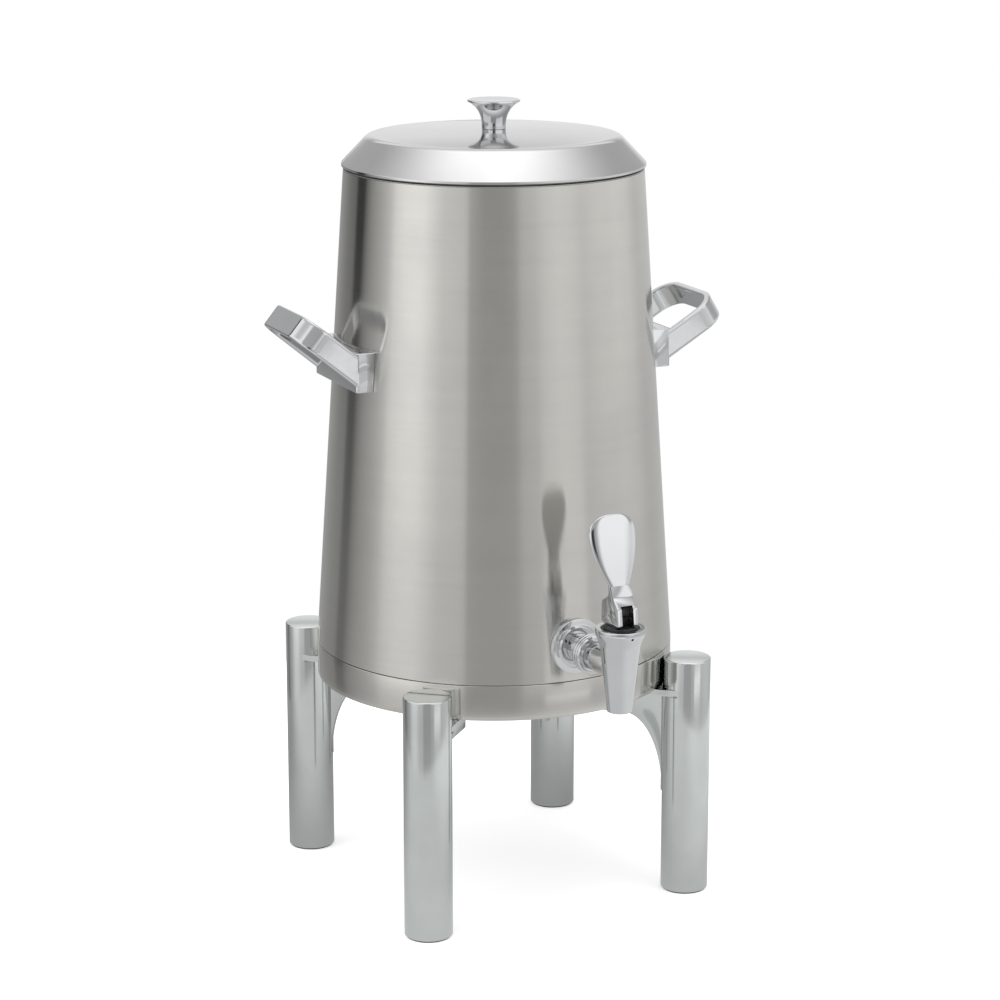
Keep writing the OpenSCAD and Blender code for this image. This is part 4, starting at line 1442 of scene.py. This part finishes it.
    def bonnet(self) -> Mesh:
        """Screwed bonnet with a raised face."""
        rim = self.shank_z + self.rim_up
        seat, low, face = rim - self.lip_h, rim - self.lip_h - self.thread_h, rim + self.bonnet_over
        thread = self.thread_r - SEAT
        shelf = seat + self.bonnet_flange
        corners = [
            (self.stem_bore, low, 0.2), (thread, low, 0.5), (thread, seat, 0.0), (self.bonnet_r, seat, 0.2),
            (self.bonnet_r, shelf, 0.5), (self.bonnet_face_r + 0.2, shelf + 0.1, 0.4),
            (self.bonnet_face_r, face, 0.9), (self.stem_bore, face, 0.3),
        ]
        return moved(spun("bonnet", corners, True, 4), at_tap())

    def back_nut(self) -> Mesh:
        """Hexagonal nut inside the vessel."""
        start = self.vessel.bore(self.shank_z) - self.washer_t - self.nut_h
        block = prism("back_nut", hexagon(self.nut_flats / math.sqrt(3.0)), 0.0, self.nut_h)
        hole = rod("hole", self.shank_r + SHAFT, -1.0, self.nut_h + 1.0, 64)
        return moved(bevelled(cut(block, [hole]), 0.5), along_tap(start, self.shank_z))


@dataclass
class Lever:
    """Bright lever: a yoke with a rolling heel, a neck and a crowned paddle, on its pin and stem."""

    pin_z: float = 273.6
    pin_up: float = 10.8
    pin_r: float = 2.0
    pin_half: float = 8.4
    cam_rate: float = 5.0
    tilt: float = 35.0
    yoke_w: float = 16.8
    slot_w: float = 9.8
    slot_r: float = 6.2
    slot_far: float = 24.0
    neck_z: float = 20.0
    paddle_w: float = 19.6
    paddle_h: float = 55.5
    paddle_t: float = 3.6
    paddle_z: float = 19.0
    paddle_y: float = -0.6
    broad: float = 0.72
    rounding: float = 2.4
    lean: float = 14.0
    crown: float = 58.0
    stem_r: float = 3.2
    collar_r: float = 7.4
    collar_z: float = 221.2
    collar_h: float = 1.6
    head_r: float = 5.8
    head_foot: float = 4.0
    seat_z: float = 214.2
    seat_r: float = 8.4
    rod_z: float = 217.7

    def build(self) -> None:
        """Makes lever, pin, stem and seat cup."""
        lever = joined("lever", [self.yoke(), self.paddle()], 35.0)
        put("lever_paddle", moved(lever, at_tap(self.pin_z)), CHROME, ["lever"], Body.LEVER)
        put("lever_pivot", moved(self.pin(), at_tap(self.pin_z)), ZINC, ["lever_pin"], Body.LEVER)
        put("stem_head", moved(self.stem(), at_tap()), BLACK_PLASTIC, ["valve_stem"], Body.VALVE)
        put("seat_plug", moved(self.seat(), at_tap()), WHITE_SILICONE, ["seat_cup"], Body.VALVE)

    def heel(self, angle: float) -> Point:
        """Point of the heel that touches the bonnet.

        Args:
            angle: Tilt of the lever in degrees.

        Returns:
            Its Y and Z from the pin.
        """
        a = math.radians(angle)
        reach = self.pin_up + self.cam_rate * a
        return (
            -reach * math.sin(a) - self.cam_rate * math.cos(a),
            -reach * math.cos(a) + self.cam_rate * math.sin(a),
        )

    def pin(self) -> Mesh:
        """Pivot pin with broken edges, along X."""
        corners = [(0.0, -self.pin_half, 0.0), (self.pin_r, -self.pin_half, 0.4)]
        corners += [(self.pin_r, self.pin_half, 0.4), (0.0, self.pin_half, 0.0)]
        return moved(spun("pin", corners, False, 3, 32), ALONG_X)

    def seat(self) -> Mesh:
        """Seat cup with the hole for the stem's foot."""
        corners = [(0.0, self.seat_z, 0.0), (self.seat_r, self.seat_z, 1.2)]
        corners += [(self.collar_r, self.collar_z, 0.6), (0.0, self.collar_z, 0.0)]
        hole = rod("hole", self.stem_r + SHAFT, self.rod_z, self.collar_z + 4.8)
        return cut(spun("seat", corners, False, 4, 64), [hole])

    def pin_hole(self) -> Mesh:
        """Tool that bores the hole for the pin, along X."""
        return moved(rod("hole", self.pin_r + SHAFT, -12.0, 12.0), ALONG_X)

    def yoke(self) -> Mesh:
        """Yoke with its slot for the stem's head."""
        side = [self.heel(self.tilt * (10 - i) / 10) for i in range(11)]
        corners = [
            (*side[-1], 0.0), (14.4, -self.pin_up, 1.5), (14.4, 6.0, 4.0), (3.2, 12.2, 5.0),
            (4.6, self.neck_z, 0.0), (-0.6, self.neck_z, 0.0), (-3.6, 11.6, 4.0), (-10.6, 4.2, 3.0),
            (-12.2, -7.4, 0.8), (*side[0], 0.0),
        ]
        block = slab("yoke", side + rounded(corners, False, 5)[1:-1], self.yoke_w / 2)
        back, low = -self.slot_far, 2.0 - self.slot_far
        slot = arc((0.0, 0.0), self.slot_r, 0.0, 90.0, 10)
        slot += [(back, self.slot_r), (back, low), (self.slot_r, low)]
        return bevelled(cut(block, [slab("slot", slot, self.slot_w / 2), self.pin_hole()]), 0.7, 35.0)

    def half_width(self, share: float) -> float:
        """Half the paddle's width.

        Args:
            share: Share of the paddle's height.

        Returns:
            The half width in millimetres.
        """
        foot = self.yoke_w / 2 - 0.4
        if share < self.broad:
            return foot + (self.paddle_w - foot) * math.sin(math.pi / 2 * share / self.broad)
        past = (share - self.broad) / (1.0 - self.broad)
        return self.paddle_w * max(0.0, 1.0 - past**self.rounding) ** (1.0 / self.rounding)

    def paddle(self) -> Mesh:
        """Crowned blade with soft edges, fuller in the middle than at its rim."""
        rows = [self.broad * i / 18 for i in range(19)]
        rows += [self.broad + (1.0 - self.broad) * math.sin(math.pi / 2 * i / 16) for i in range(1, 16)]
        tilt = Matrix.Rotation(math.radians(-self.lean), 4, "X")
        foot = Vector((0.0, self.paddle_y, self.paddle_z)) * MM
        turns = [math.tau * k / 40 for k in range(40)]
        rings = []
        for share in rows + [0.9985]:
            half = self.half_width(share)
            thick = self.paddle_t / 2 * min(1.0, 0.25 + half / self.paddle_w * 2.0)
            ring = []
            for a in turns:
                x = half * math.copysign(abs(math.cos(a)) ** 0.8, math.cos(a))
                v = thick * math.copysign(abs(math.sin(a)) ** 0.55, math.sin(a))
                y = self.crown - math.sqrt(self.crown**2 - x * x) + self.paddle_t / 2 + v
                ring.append(tilt @ (Vector((x, y, share * self.paddle_h)) * MM) + foot)
            rings.append(ring)
        return loft("paddle", rings, 50.0)

    def stem(self) -> Mesh:
        """Stem with its spring collar, and the round head that carries the pin."""
        shaft = rod("rod", self.stem_r, self.rod_z + SEAT, self.pin_z - self.pin_up / 2, 48)
        low, high = self.collar_z, self.collar_z + self.collar_h
        ring = [(self.stem_r - SEAT, low, 0.0), (self.collar_r, low, 0.2)]
        ring += [(self.collar_r, high, 0.4), (self.stem_r - SEAT, high, 0.0)]
        collar = spun("collar", ring, True, 3, 48)
        base = self.pin_z - self.pin_up
        turns = [math.radians(-46.0 + 272.0 * i / 36) for i in range(37)]
        side = [(-self.head_foot, base), (self.head_foot, base)]
        side += [(self.head_r * math.cos(a), self.pin_z + self.head_r * math.sin(a)) for a in turns]
        head = slab("head", side, self.slot_w / 2 - 0.2)
        hole = moved(self.pin_hole(), Matrix.Translation((0.0, 0.0, self.pin_z * MM)))
        return joined("stem", [shaft, collar, bevelled(cut(head, [hole]), 0.5, 35.0)], 32.0)


# Lid


@dataclass
class Lid:
    """Lid that lifts off: polished cover, closed pan, seal, knob and the knob's screw."""

    vessel: Vessel
    low_z: float = 586.1
    rim_r: float = 120.3
    rim_h: float = 1.8
    run: float = 21.0
    shoulder: float = 22.1
    dome: float = 4.0
    round_r: float = 10.0
    wall: float = 1.2
    flange_z: float = 584.5
    pan_in: float = 2.5
    pan_z: float = 572.5
    bead: float = 3.0
    seal_in: float = 2.5
    seal_out: float = 1.4
    knob_r: float = 20.8
    neck_r: float = 9.5
    knob_h: float = 23.0
    hole_r: float = 3.0
    hole_h: float = 13.0

    @property
    def top(self) -> float:
        """Height of the middle of the lid."""
        return self.low_z + self.rim_h + self.shoulder + self.dome

    def build(self) -> None:
        """Makes every piece of the lid."""
        put("lid_cover_spinning", moved(self.cover(), at_axis()), POLISHED_LID, ["lid_cover"], Body.LID)
        put("lid_pan_pressing", moved(self.pan(), at_axis()), DRAWN_STEEL, ["lid_pan"], Body.LID)
        put("lid_seal_ring", moved(self.seal(), at_axis()), GREY_SILICONE, ["lid_seal"], Body.LID)
        put("lid_knob_turning", moved(self.knob(), at_axis()), CHROME, ["lid_knob"], Body.LID)

    def skin(self, inset: float) -> list[Point]:
        """Outline of the cover from the rim to the middle, moved inwards by a wall.

        Args:
            inset: How far inside the outer face it lies.

        Returns:
            Points in radius and height.
        """
        slope = math.atan2(self.shoulder, self.run)
        edge_r, edge_z = self.rim_r - self.run, self.low_z + self.rim_h + self.shoulder
        start = edge_r - self.round_r * math.tan(slope / 2.0)
        fold = self.low_z + self.rim_h - inset * math.tan(math.pi / 4.0 - slope / 2.0)
        middle = (start, edge_z - self.round_r)
        bend = arc(middle, self.round_r - inset, 90.0 - math.degrees(slope), 90.0, 12)
        rim = self.rim_r - inset
        foot = rounded([(rim, self.low_z, 0.0), (rim, fold, 0.7), (*bend[0], 0.0)], False, 4)
        ball = (start**2 + self.dome**2) / (2.0 * self.dome)
        crown = [
            (r, self.top - inset - ball + math.sqrt(ball**2 - r**2))
            for r in (start * (1.0 - i / 16) for i in range(1, 17))
        ]
        return foot + bend[1:] + crown

    def cover(self) -> Mesh:
        """Cover with its upright rim, sloping shoulder and domed top."""
        return lathe("cover", self.skin(0.0) + self.skin(self.wall)[::-1], True, 256)

    def pan(self) -> Mesh:
        """Pan that closes the lid's underside, with a drip bead near its edge."""
        reach = self.vessel.bore(self.flange_z) - self.pan_in
        fold, low, high, wall = self.rim_r - self.wall - SEAT, self.pan_z, self.low_z, self.wall
        bead = [reach - 22.0 + self.bead * i for i in range(3)]
        corners = [
            (0.0, low, 0.0), (bead[0], low, 2.0), (bead[1], low + wall, 2.0), (bead[2], low, 2.0),
            (reach, low, 4.0), (reach, high, 0.0), (fold, high, 0.2), (fold, high + wall, 0.2),
            (reach - wall, high + wall, 0.5), (reach - wall, low + wall, 3.0), (0.0, low + wall, 0.0),
        ]
        return spun("pan", corners, False, 5, 192)

    def seal(self) -> Mesh:
        """Seal between lid and flange, with a soft outer lip."""
        inner, outer = self.vessel.bore(self.flange_z) + self.seal_in, self.vessel.top_r - self.seal_out
        low, high = self.flange_z, self.low_z
        corners = [(inner, low, 0.3), (outer, low, 0.9), (outer, high, 0.9), (inner, high, 0.3)]
        return spun("seal", corners, True, 5, 192)

    def knob(self) -> Mesh:
        """Trumpet knob: a straight neck that flares into a thin-edged disc, with the screw's hole below."""
        low, top, neck, disc = self.top, self.top + self.knob_h, self.neck_r, self.knob_r
        handles = (neck + 0.1, top - 12.5), (neck + 3.1, top - 6.0)
        flare = bezier((neck, top - 20.5), *handles, (disc - 1.0, top - 2.0), 24)
        outline = [(self.hole_r, low), (neck - 0.3, low), (neck, low + 0.3), *flare]
        outline += [(disc - 0.1, top - 1.6), (disc, top - 1.1), (disc - 0.25, top - 0.4), (disc - 1.0, top)]
        outline += [(disc * 0.8, top), (disc * 0.45, top - 0.35), (0.0, top - 0.6)]
        outline += [(0.0, top - self.hole_h), (self.hole_r, top - self.hole_h)]
        return lathe("knob", outline, True, 128)


# What the CAD frame keeps showing


def dress_frame_nodes(nodes: dict[str, bpy.types.Object]) -> None:
    """Gives every CAD node that stays its own finish.

    Args:
        nodes: CAD nodes by name.
    """
    for name, finish in {"shank_washer": WHITE_SILICONE, "knob_screw": ZINC}.items():
        mesh = nodes[name].data
        mesh.materials.clear()
        mesh.materials.append(finish.material())
        LOG.info("%s keeps its CAD shape in %s", name, finish.name)


# Studio


Edge = tuple[str, float, float]


@dataclass(frozen=True)
class Patch:
    """A patch of the room that the steel shows, with soft edges.

    Attributes:
        name: What it is in a photographer's room; not used.
        light: Its brightness.
        edges: Measure, value outside and value inside of each edge. The measures are "across" and "ahead", to
            the right of and towards the camera, "height", "angle" about the upright and "turn", its size.
    """

    name: str
    light: float
    edges: tuple[Edge, ...]


def soft_edge(tree: NodeTree, measures: dict[str, Socket], edge: Edge) -> Socket:
    """Soft step from zero outside an edge to one inside it."""
    return ranged(tree, measures[edge[0]], edge[1:], kind="SMOOTHSTEP")


# Edges of the front and of the back of the room, and the horizon in front and behind.
FRONT = ("ahead", -0.1, 0.1)
BEHIND = ("turn", 2.74, 3.0)
HORIZON = ("height", 0.06, 0.14)
HORIZON_BEHIND = ("height", -0.06, 0.0)
# Brightness of the walls by degrees to the right of the camera, from behind over the left: grey, a black
# line, a wide white panel, the grey middle in front, and pale walls at the right.
WALLS = (
    (-180, 0.36), (-150, 0.29), (-137, 0.22), (-126, 0.19), (-122, 0.04), (-115, 0.04), (-110, 0.19),
    (-104, 0.31), (-90, 0.50), (-83, 0.63), (-77, 0.85), (-68, 0.97), (-60, 1.0), (-54, 0.98), (-46, 0.84),
    (-37, 0.68), (-22, 0.62), (-19.5, 0.58), (-17, 0.41), (-13, 0.39), (13, 0.39), (16, 0.42), (19.5, 0.51),
    (30, 0.56), (38, 0.65), (48, 0.71), (56, 0.70), (69, 0.645), (84, 0.72), (101, 0.78), (116, 0.75),
    (130, 0.63),
)
# Patches below the level of the eye, each laid over the ones before it.
LOW_PATCHES = (
    Patch("card for the near arm", 1.0, (
        FRONT, ("across", 0.50, 0.56), ("across", 0.90, 0.86), ("height", -0.150, -0.168),
        ("height", -0.212, -0.20),
    )),
    Patch("pale sweep", 0.68, (FRONT, ("height", -0.312, -0.33))),
    Patch("card for the cup", 1.0, (FRONT, ("height", -0.338, -0.352), ("across", 0.42, 0.2))),
)
# Patches above it, in the same way.
HIGH_PATCHES = (
    Patch("wall behind", 0.85, (("turn", 2.74, 3.03), ("height", 0.42, 0.16))),
    Patch("panel behind", 0.92, (("turn", 2.68, 2.78), ("height", 0.30, 0.42), ("height", 0.75, 0.6))),
    Patch("right panel", 1.16, (FRONT, ("across", 0.24, 0.44), ("height", 0.62, 0.48))),
    Patch("left panel", 1.08, (
        ("angle", -1.99, -1.94), ("angle", -0.45, -0.55), ("height", 0.20, 0.30), ("height", 0.70, 0.64),
    )),
    Patch("left card", 1.0, (("angle", -1.0, -0.92), ("angle", -0.18, -0.26), ("height", 0.34, 0.26))),
    Patch("black flag at the left", 0.04, (
        ("angle", -2.13, -2.10), ("angle", -1.99, -2.02), ("height", 0.58, 0.54),
    )),
    Patch("black flag in front", 0.05, (
        ("angle", -0.2, -0.1), ("angle", 0.22, 0.12), ("height", 0.30, 0.24),
    )),
)
# Light of the table top in reflections, laid over the brightness of its far part.
TABLE_PATCHES = (
    Patch("near part", 0.68, (("ahead", -0.22, 0.2),)),
    Patch("right part", 0.82, (("across", 0.05, 0.4),)),
)


@dataclass
class Studio:
    """Pale floor, soft light and the camera of the photograph."""

    azimuth: float = -26.8
    elevation: float = 13.9
    distance: float = 2431.7
    target_z: float = 312.97
    aside: float = 4.88
    lens: float = 108.0
    film: float = 36.0
    table_r: float = 660.0
    table_glow: float = 0.5
    table_far: float = 0.36
    fade_height: Point = (-0.20, -0.0436)
    fade: Point = (0.58, 1.36)
    middle_light: float = 0.39
    band_light: float = 0.405
    darkest: float = 0.04
    vault_start: float = 0.45
    vault_low: float = 0.49
    vault_rise: float = 1.15
    vault_bend: float = 2.4
    lamp_aim_z: float = 320.0

    @property
    def toward(self) -> Vector:
        """Level direction from the urn to the camera."""
        a = math.radians(self.azimuth)
        return Vector((math.sin(a), -math.cos(a), 0.0))

    @property
    def right(self) -> Vector:
        """Level direction to the right of the picture."""
        a = math.radians(self.azimuth)
        return Vector((math.cos(a), math.sin(a), 0.0))

    def build(self) -> None:
        """Makes camera, floor, world and lamps."""
        self.camera()
        self.floor()
        self.world()
        self.lamp("left softbox", -58.0, 38.0, 2600.0, 1500.0, 1700.0, 9.0)
        self.lamp("right softbox", 52.0, 34.0, 2900.0, 1300.0, 1700.0, 6.0)
        self.lamp("overhead softbox", 0.0, 86.0, 2600.0, 1700.0, 1700.0, 9.0)

    def camera(self) -> None:
        """Sets the camera where the photograph was taken from."""
        e = math.radians(self.elevation)
        aim = AXIS + self.right * self.aside + Vector((0.0, 0.0, self.target_z))
        spot = aim + (self.toward * math.cos(e) + Vector((0.0, 0.0, math.sin(e)))) * self.distance
        data = bpy.data.cameras.new("camera")
        data.lens = self.lens
        data.sensor_width = self.film
        data.clip_end = 60.0
        camera = bpy.data.objects.new("camera", data)
        camera.location = spot * MM
        camera.rotation_euler = (aim - spot).to_track_quat("-Z", "Y").to_euler()
        bpy.context.scene.collection.objects.link(camera)
        bpy.context.scene.camera = camera

    def floor(self) -> None:
        """Lays a round white table top, which keeps the shadow and shows reflections a light of its own."""
        work = bmesh.new()
        bmesh.ops.create_circle(work, cap_ends=True, segments=128, radius=self.table_r * MM)
        mesh = bpy.data.meshes.new("floor")
        work.to_mesh(mesh)
        work.free()
        floor = hold("floor", mesh)
        material = bpy.data.materials.new("pale floor")
        material.use_nodes = True
        tree = material.node_tree
        tree.nodes.clear()
        path = add_node(tree, "ShaderNodeLightPath")
        shown = maths(tree, "MULTIPLY", path.outputs["Is Camera Ray"], self.table_glow)
        glow = wired(tree, "ShaderNodeEmission", Color=linear("FFFFFF"), Strength=shown)
        matte = wired(tree, "ShaderNodeBsdfDiffuse", Color=linear("ECECEC"))
        paper = wired(tree, "ShaderNodeAddShader", i0=matte, i1=glow)
        where = add_node(tree, "ShaderNodeTexCoord").outputs["Object"]
        measures = {
            "ahead": measure(tree, where, self.toward),
            "across": measure(tree, where, self.right),
        }
        light = self.laid(tree, measures, self.table_far, TABLE_PATCHES)
        seen = wired(tree, "ShaderNodeEmission", Color=linear("FFFFFF"), Strength=light)
        both = add_node(tree, "ShaderNodeMixShader", i0=path.outputs["Is Glossy Ray"], i1=paper, i2=seen)
        add_node(tree, "ShaderNodeOutputMaterial", Surface=both.outputs[0])
        mesh.materials.append(material)

    def world(self) -> None:
        """Makes the room that the steel shows: upright panels, a pale sweep below, brighter walls above."""
        world = bpy.data.worlds.new("studio")
        bpy.context.scene.world = world
        world.use_nodes = True
        tree = world.node_tree
        tree.nodes.clear()
        way = add_node(tree, "ShaderNodeTexCoord").outputs["Generated"]
        measures = {
            "across": measure(tree, way, self.right),
            "ahead": measure(tree, way, self.toward),
            "height": add_node(tree, "ShaderNodeSeparateXYZ", Vector=way).outputs[2],
        }
        measures["angle"] = maths(tree, "ARCTAN2", measures["across"], measures["ahead"])
        measures["turn"] = maths(tree, "ABSOLUTE", measures["angle"], 0.0)
        below = self.laid(tree, measures, self.bands(tree, measures), LOW_PATCHES)
        rise = ranged(tree, measures["height"], (self.vault_start, 1.0))
        bend = maths(tree, "POWER", rise, self.vault_bend)
        vault = sum_of(tree, bend, self.vault_rise, self.vault_low)
        above = self.laid(tree, measures, vault, HIGH_PATCHES)
        sides = [soft_edge(tree, measures, edge) for edge in (BEHIND, HORIZON, HORIZON_BEHIND)]
        light = blend(tree, blend(tree, *sides), below, above)
        path = add_node(tree, "ShaderNodeLightPath")
        room = wired(tree, "ShaderNodeBackground", Color=light, Strength=1.0)
        white = wired(tree, "ShaderNodeBackground", Color=linear("FFFFFF"), Strength=1.0)
        shown = add_node(tree, "ShaderNodeMixShader", i0=path.outputs["Is Camera Ray"], i1=room, i2=white)
        add_node(tree, "ShaderNodeOutputWorld", Surface=shown.outputs[0])

    def bands(self, tree: NodeTree, measures: dict[str, Socket]) -> Socket:
        """Brightness of the walls, whose contrast grows with the height.

        Args:
            tree: Node tree of the world.
            measures: Sockets by the names that the patches use.

        Returns:
            The brightness as a socket.
        """
        share = ranged(tree, measures["angle"], (-math.pi, math.pi))
        panels = add_node(tree, "ShaderNodeValToRGB", Fac=share)
        self.stops(panels.color_ramp, WALLS)
        sides = wired(tree, "ShaderNodeSeparateColor", Color=panels.outputs[0])
        contrast = ranged(tree, measures["height"], self.fade_height, self.fade)
        over = maths(tree, "SUBTRACT", sides, self.middle_light)
        return maths(tree, "MAXIMUM", sum_of(tree, over, contrast, self.band_light), self.darkest)

    def laid(
        self, tree: NodeTree, measures: dict[str, Socket], light: Any, patches: Sequence[Patch]
    ) -> Socket:
        """Lays patches over a brightness, one after another.

        Args:
            tree: Node tree that gets the nodes.
            measures: Sockets by the names that the patches use.
            light: Brightness under the patches.
            patches: Patches from the lowest to the uppermost.

        Returns:
            The brightness with its patches.
        """
        for patch in patches:
            share: Any = None
            for edge in patch.edges:
                side = soft_edge(tree, measures, edge)
                share = side if share is None else maths(tree, "MULTIPLY", share, side)
            light = blend(tree, share, light, patch.light)
        return light

    def stops(self, ramp: bpy.types.ColorRamp, walls: Sequence[tuple[float, float]]) -> None:
        """Sets the stops of a ramp.

        Args:
            ramp: Ramp that gets them.
            walls: Direction in degrees to the right of the camera, and brightness, of each stop.
        """
        while len(ramp.elements) > 1:
            ramp.elements.remove(ramp.elements[-1])
        for i, (degrees, light) in enumerate(walls):
            spot = degrees / 360.0 + 0.5
            stop = ramp.elements[0] if i == 0 else ramp.elements.new(spot)
            stop.position = spot
            stop.color = (light, light, light, 1.0)

    def lamp(
        self, name: str, right: float, up: float, far: float, wide: float, tall: float, power: float
    ) -> None:
        """Hangs one soft lamp that looks at the urn.

        Args:
            name: Name of the lamp.
            right: Direction in degrees to the right of the camera.
            up: Elevation in degrees.
            far: Distance in millimetres.
            wide: Width in millimetres.
            tall: Height in millimetres.
            power: Power in watts.
        """
        data = bpy.data.lights.new(name, "AREA")
        data.shape = "RECTANGLE"
        data.size = wide * MM
        data.size_y = tall * MM
        data.energy = power
        turn, rise = math.radians(right), math.radians(up)
        level = self.toward * math.cos(turn) + self.right * math.sin(turn)
        way = level * math.cos(rise) + Vector((0.0, 0.0, math.sin(rise)))
        aim = AXIS + Vector((0.0, 0.0, self.lamp_aim_z))
        lamp = bpy.data.objects.new(name, data)
        lamp.visible_glossy = False
        lamp.location = (aim + way * far) * MM
        lamp.rotation_euler = (-way).to_track_quat("-Z", "Y").to_euler()
        bpy.context.scene.collection.objects.link(lamp)


def main() -> None:
    """Loads the frame, builds every sub-assembly in order and gives the CAD nodes that stay their finishes.
    """
    logging.basicConfig(level=logging.INFO, format="%(name)s %(message)s")
    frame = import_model()
    bpy.context.scene.view_settings.view_transform = "Standard"
    vessel = Vessel()
    builders: list[Callable[[], None]] = [vessel.build, BaseCup().build, Stand().build]
    builders += [StrapHandle(vessel, side).build for side in Side]
    builders += [Tap(vessel).build, Lever().build, Lid(vessel).build, Studio().build]
    for build in builders:
        build()
    dress_frame_nodes(frame["nodes"])


if __name__ == "__main__":
    main()
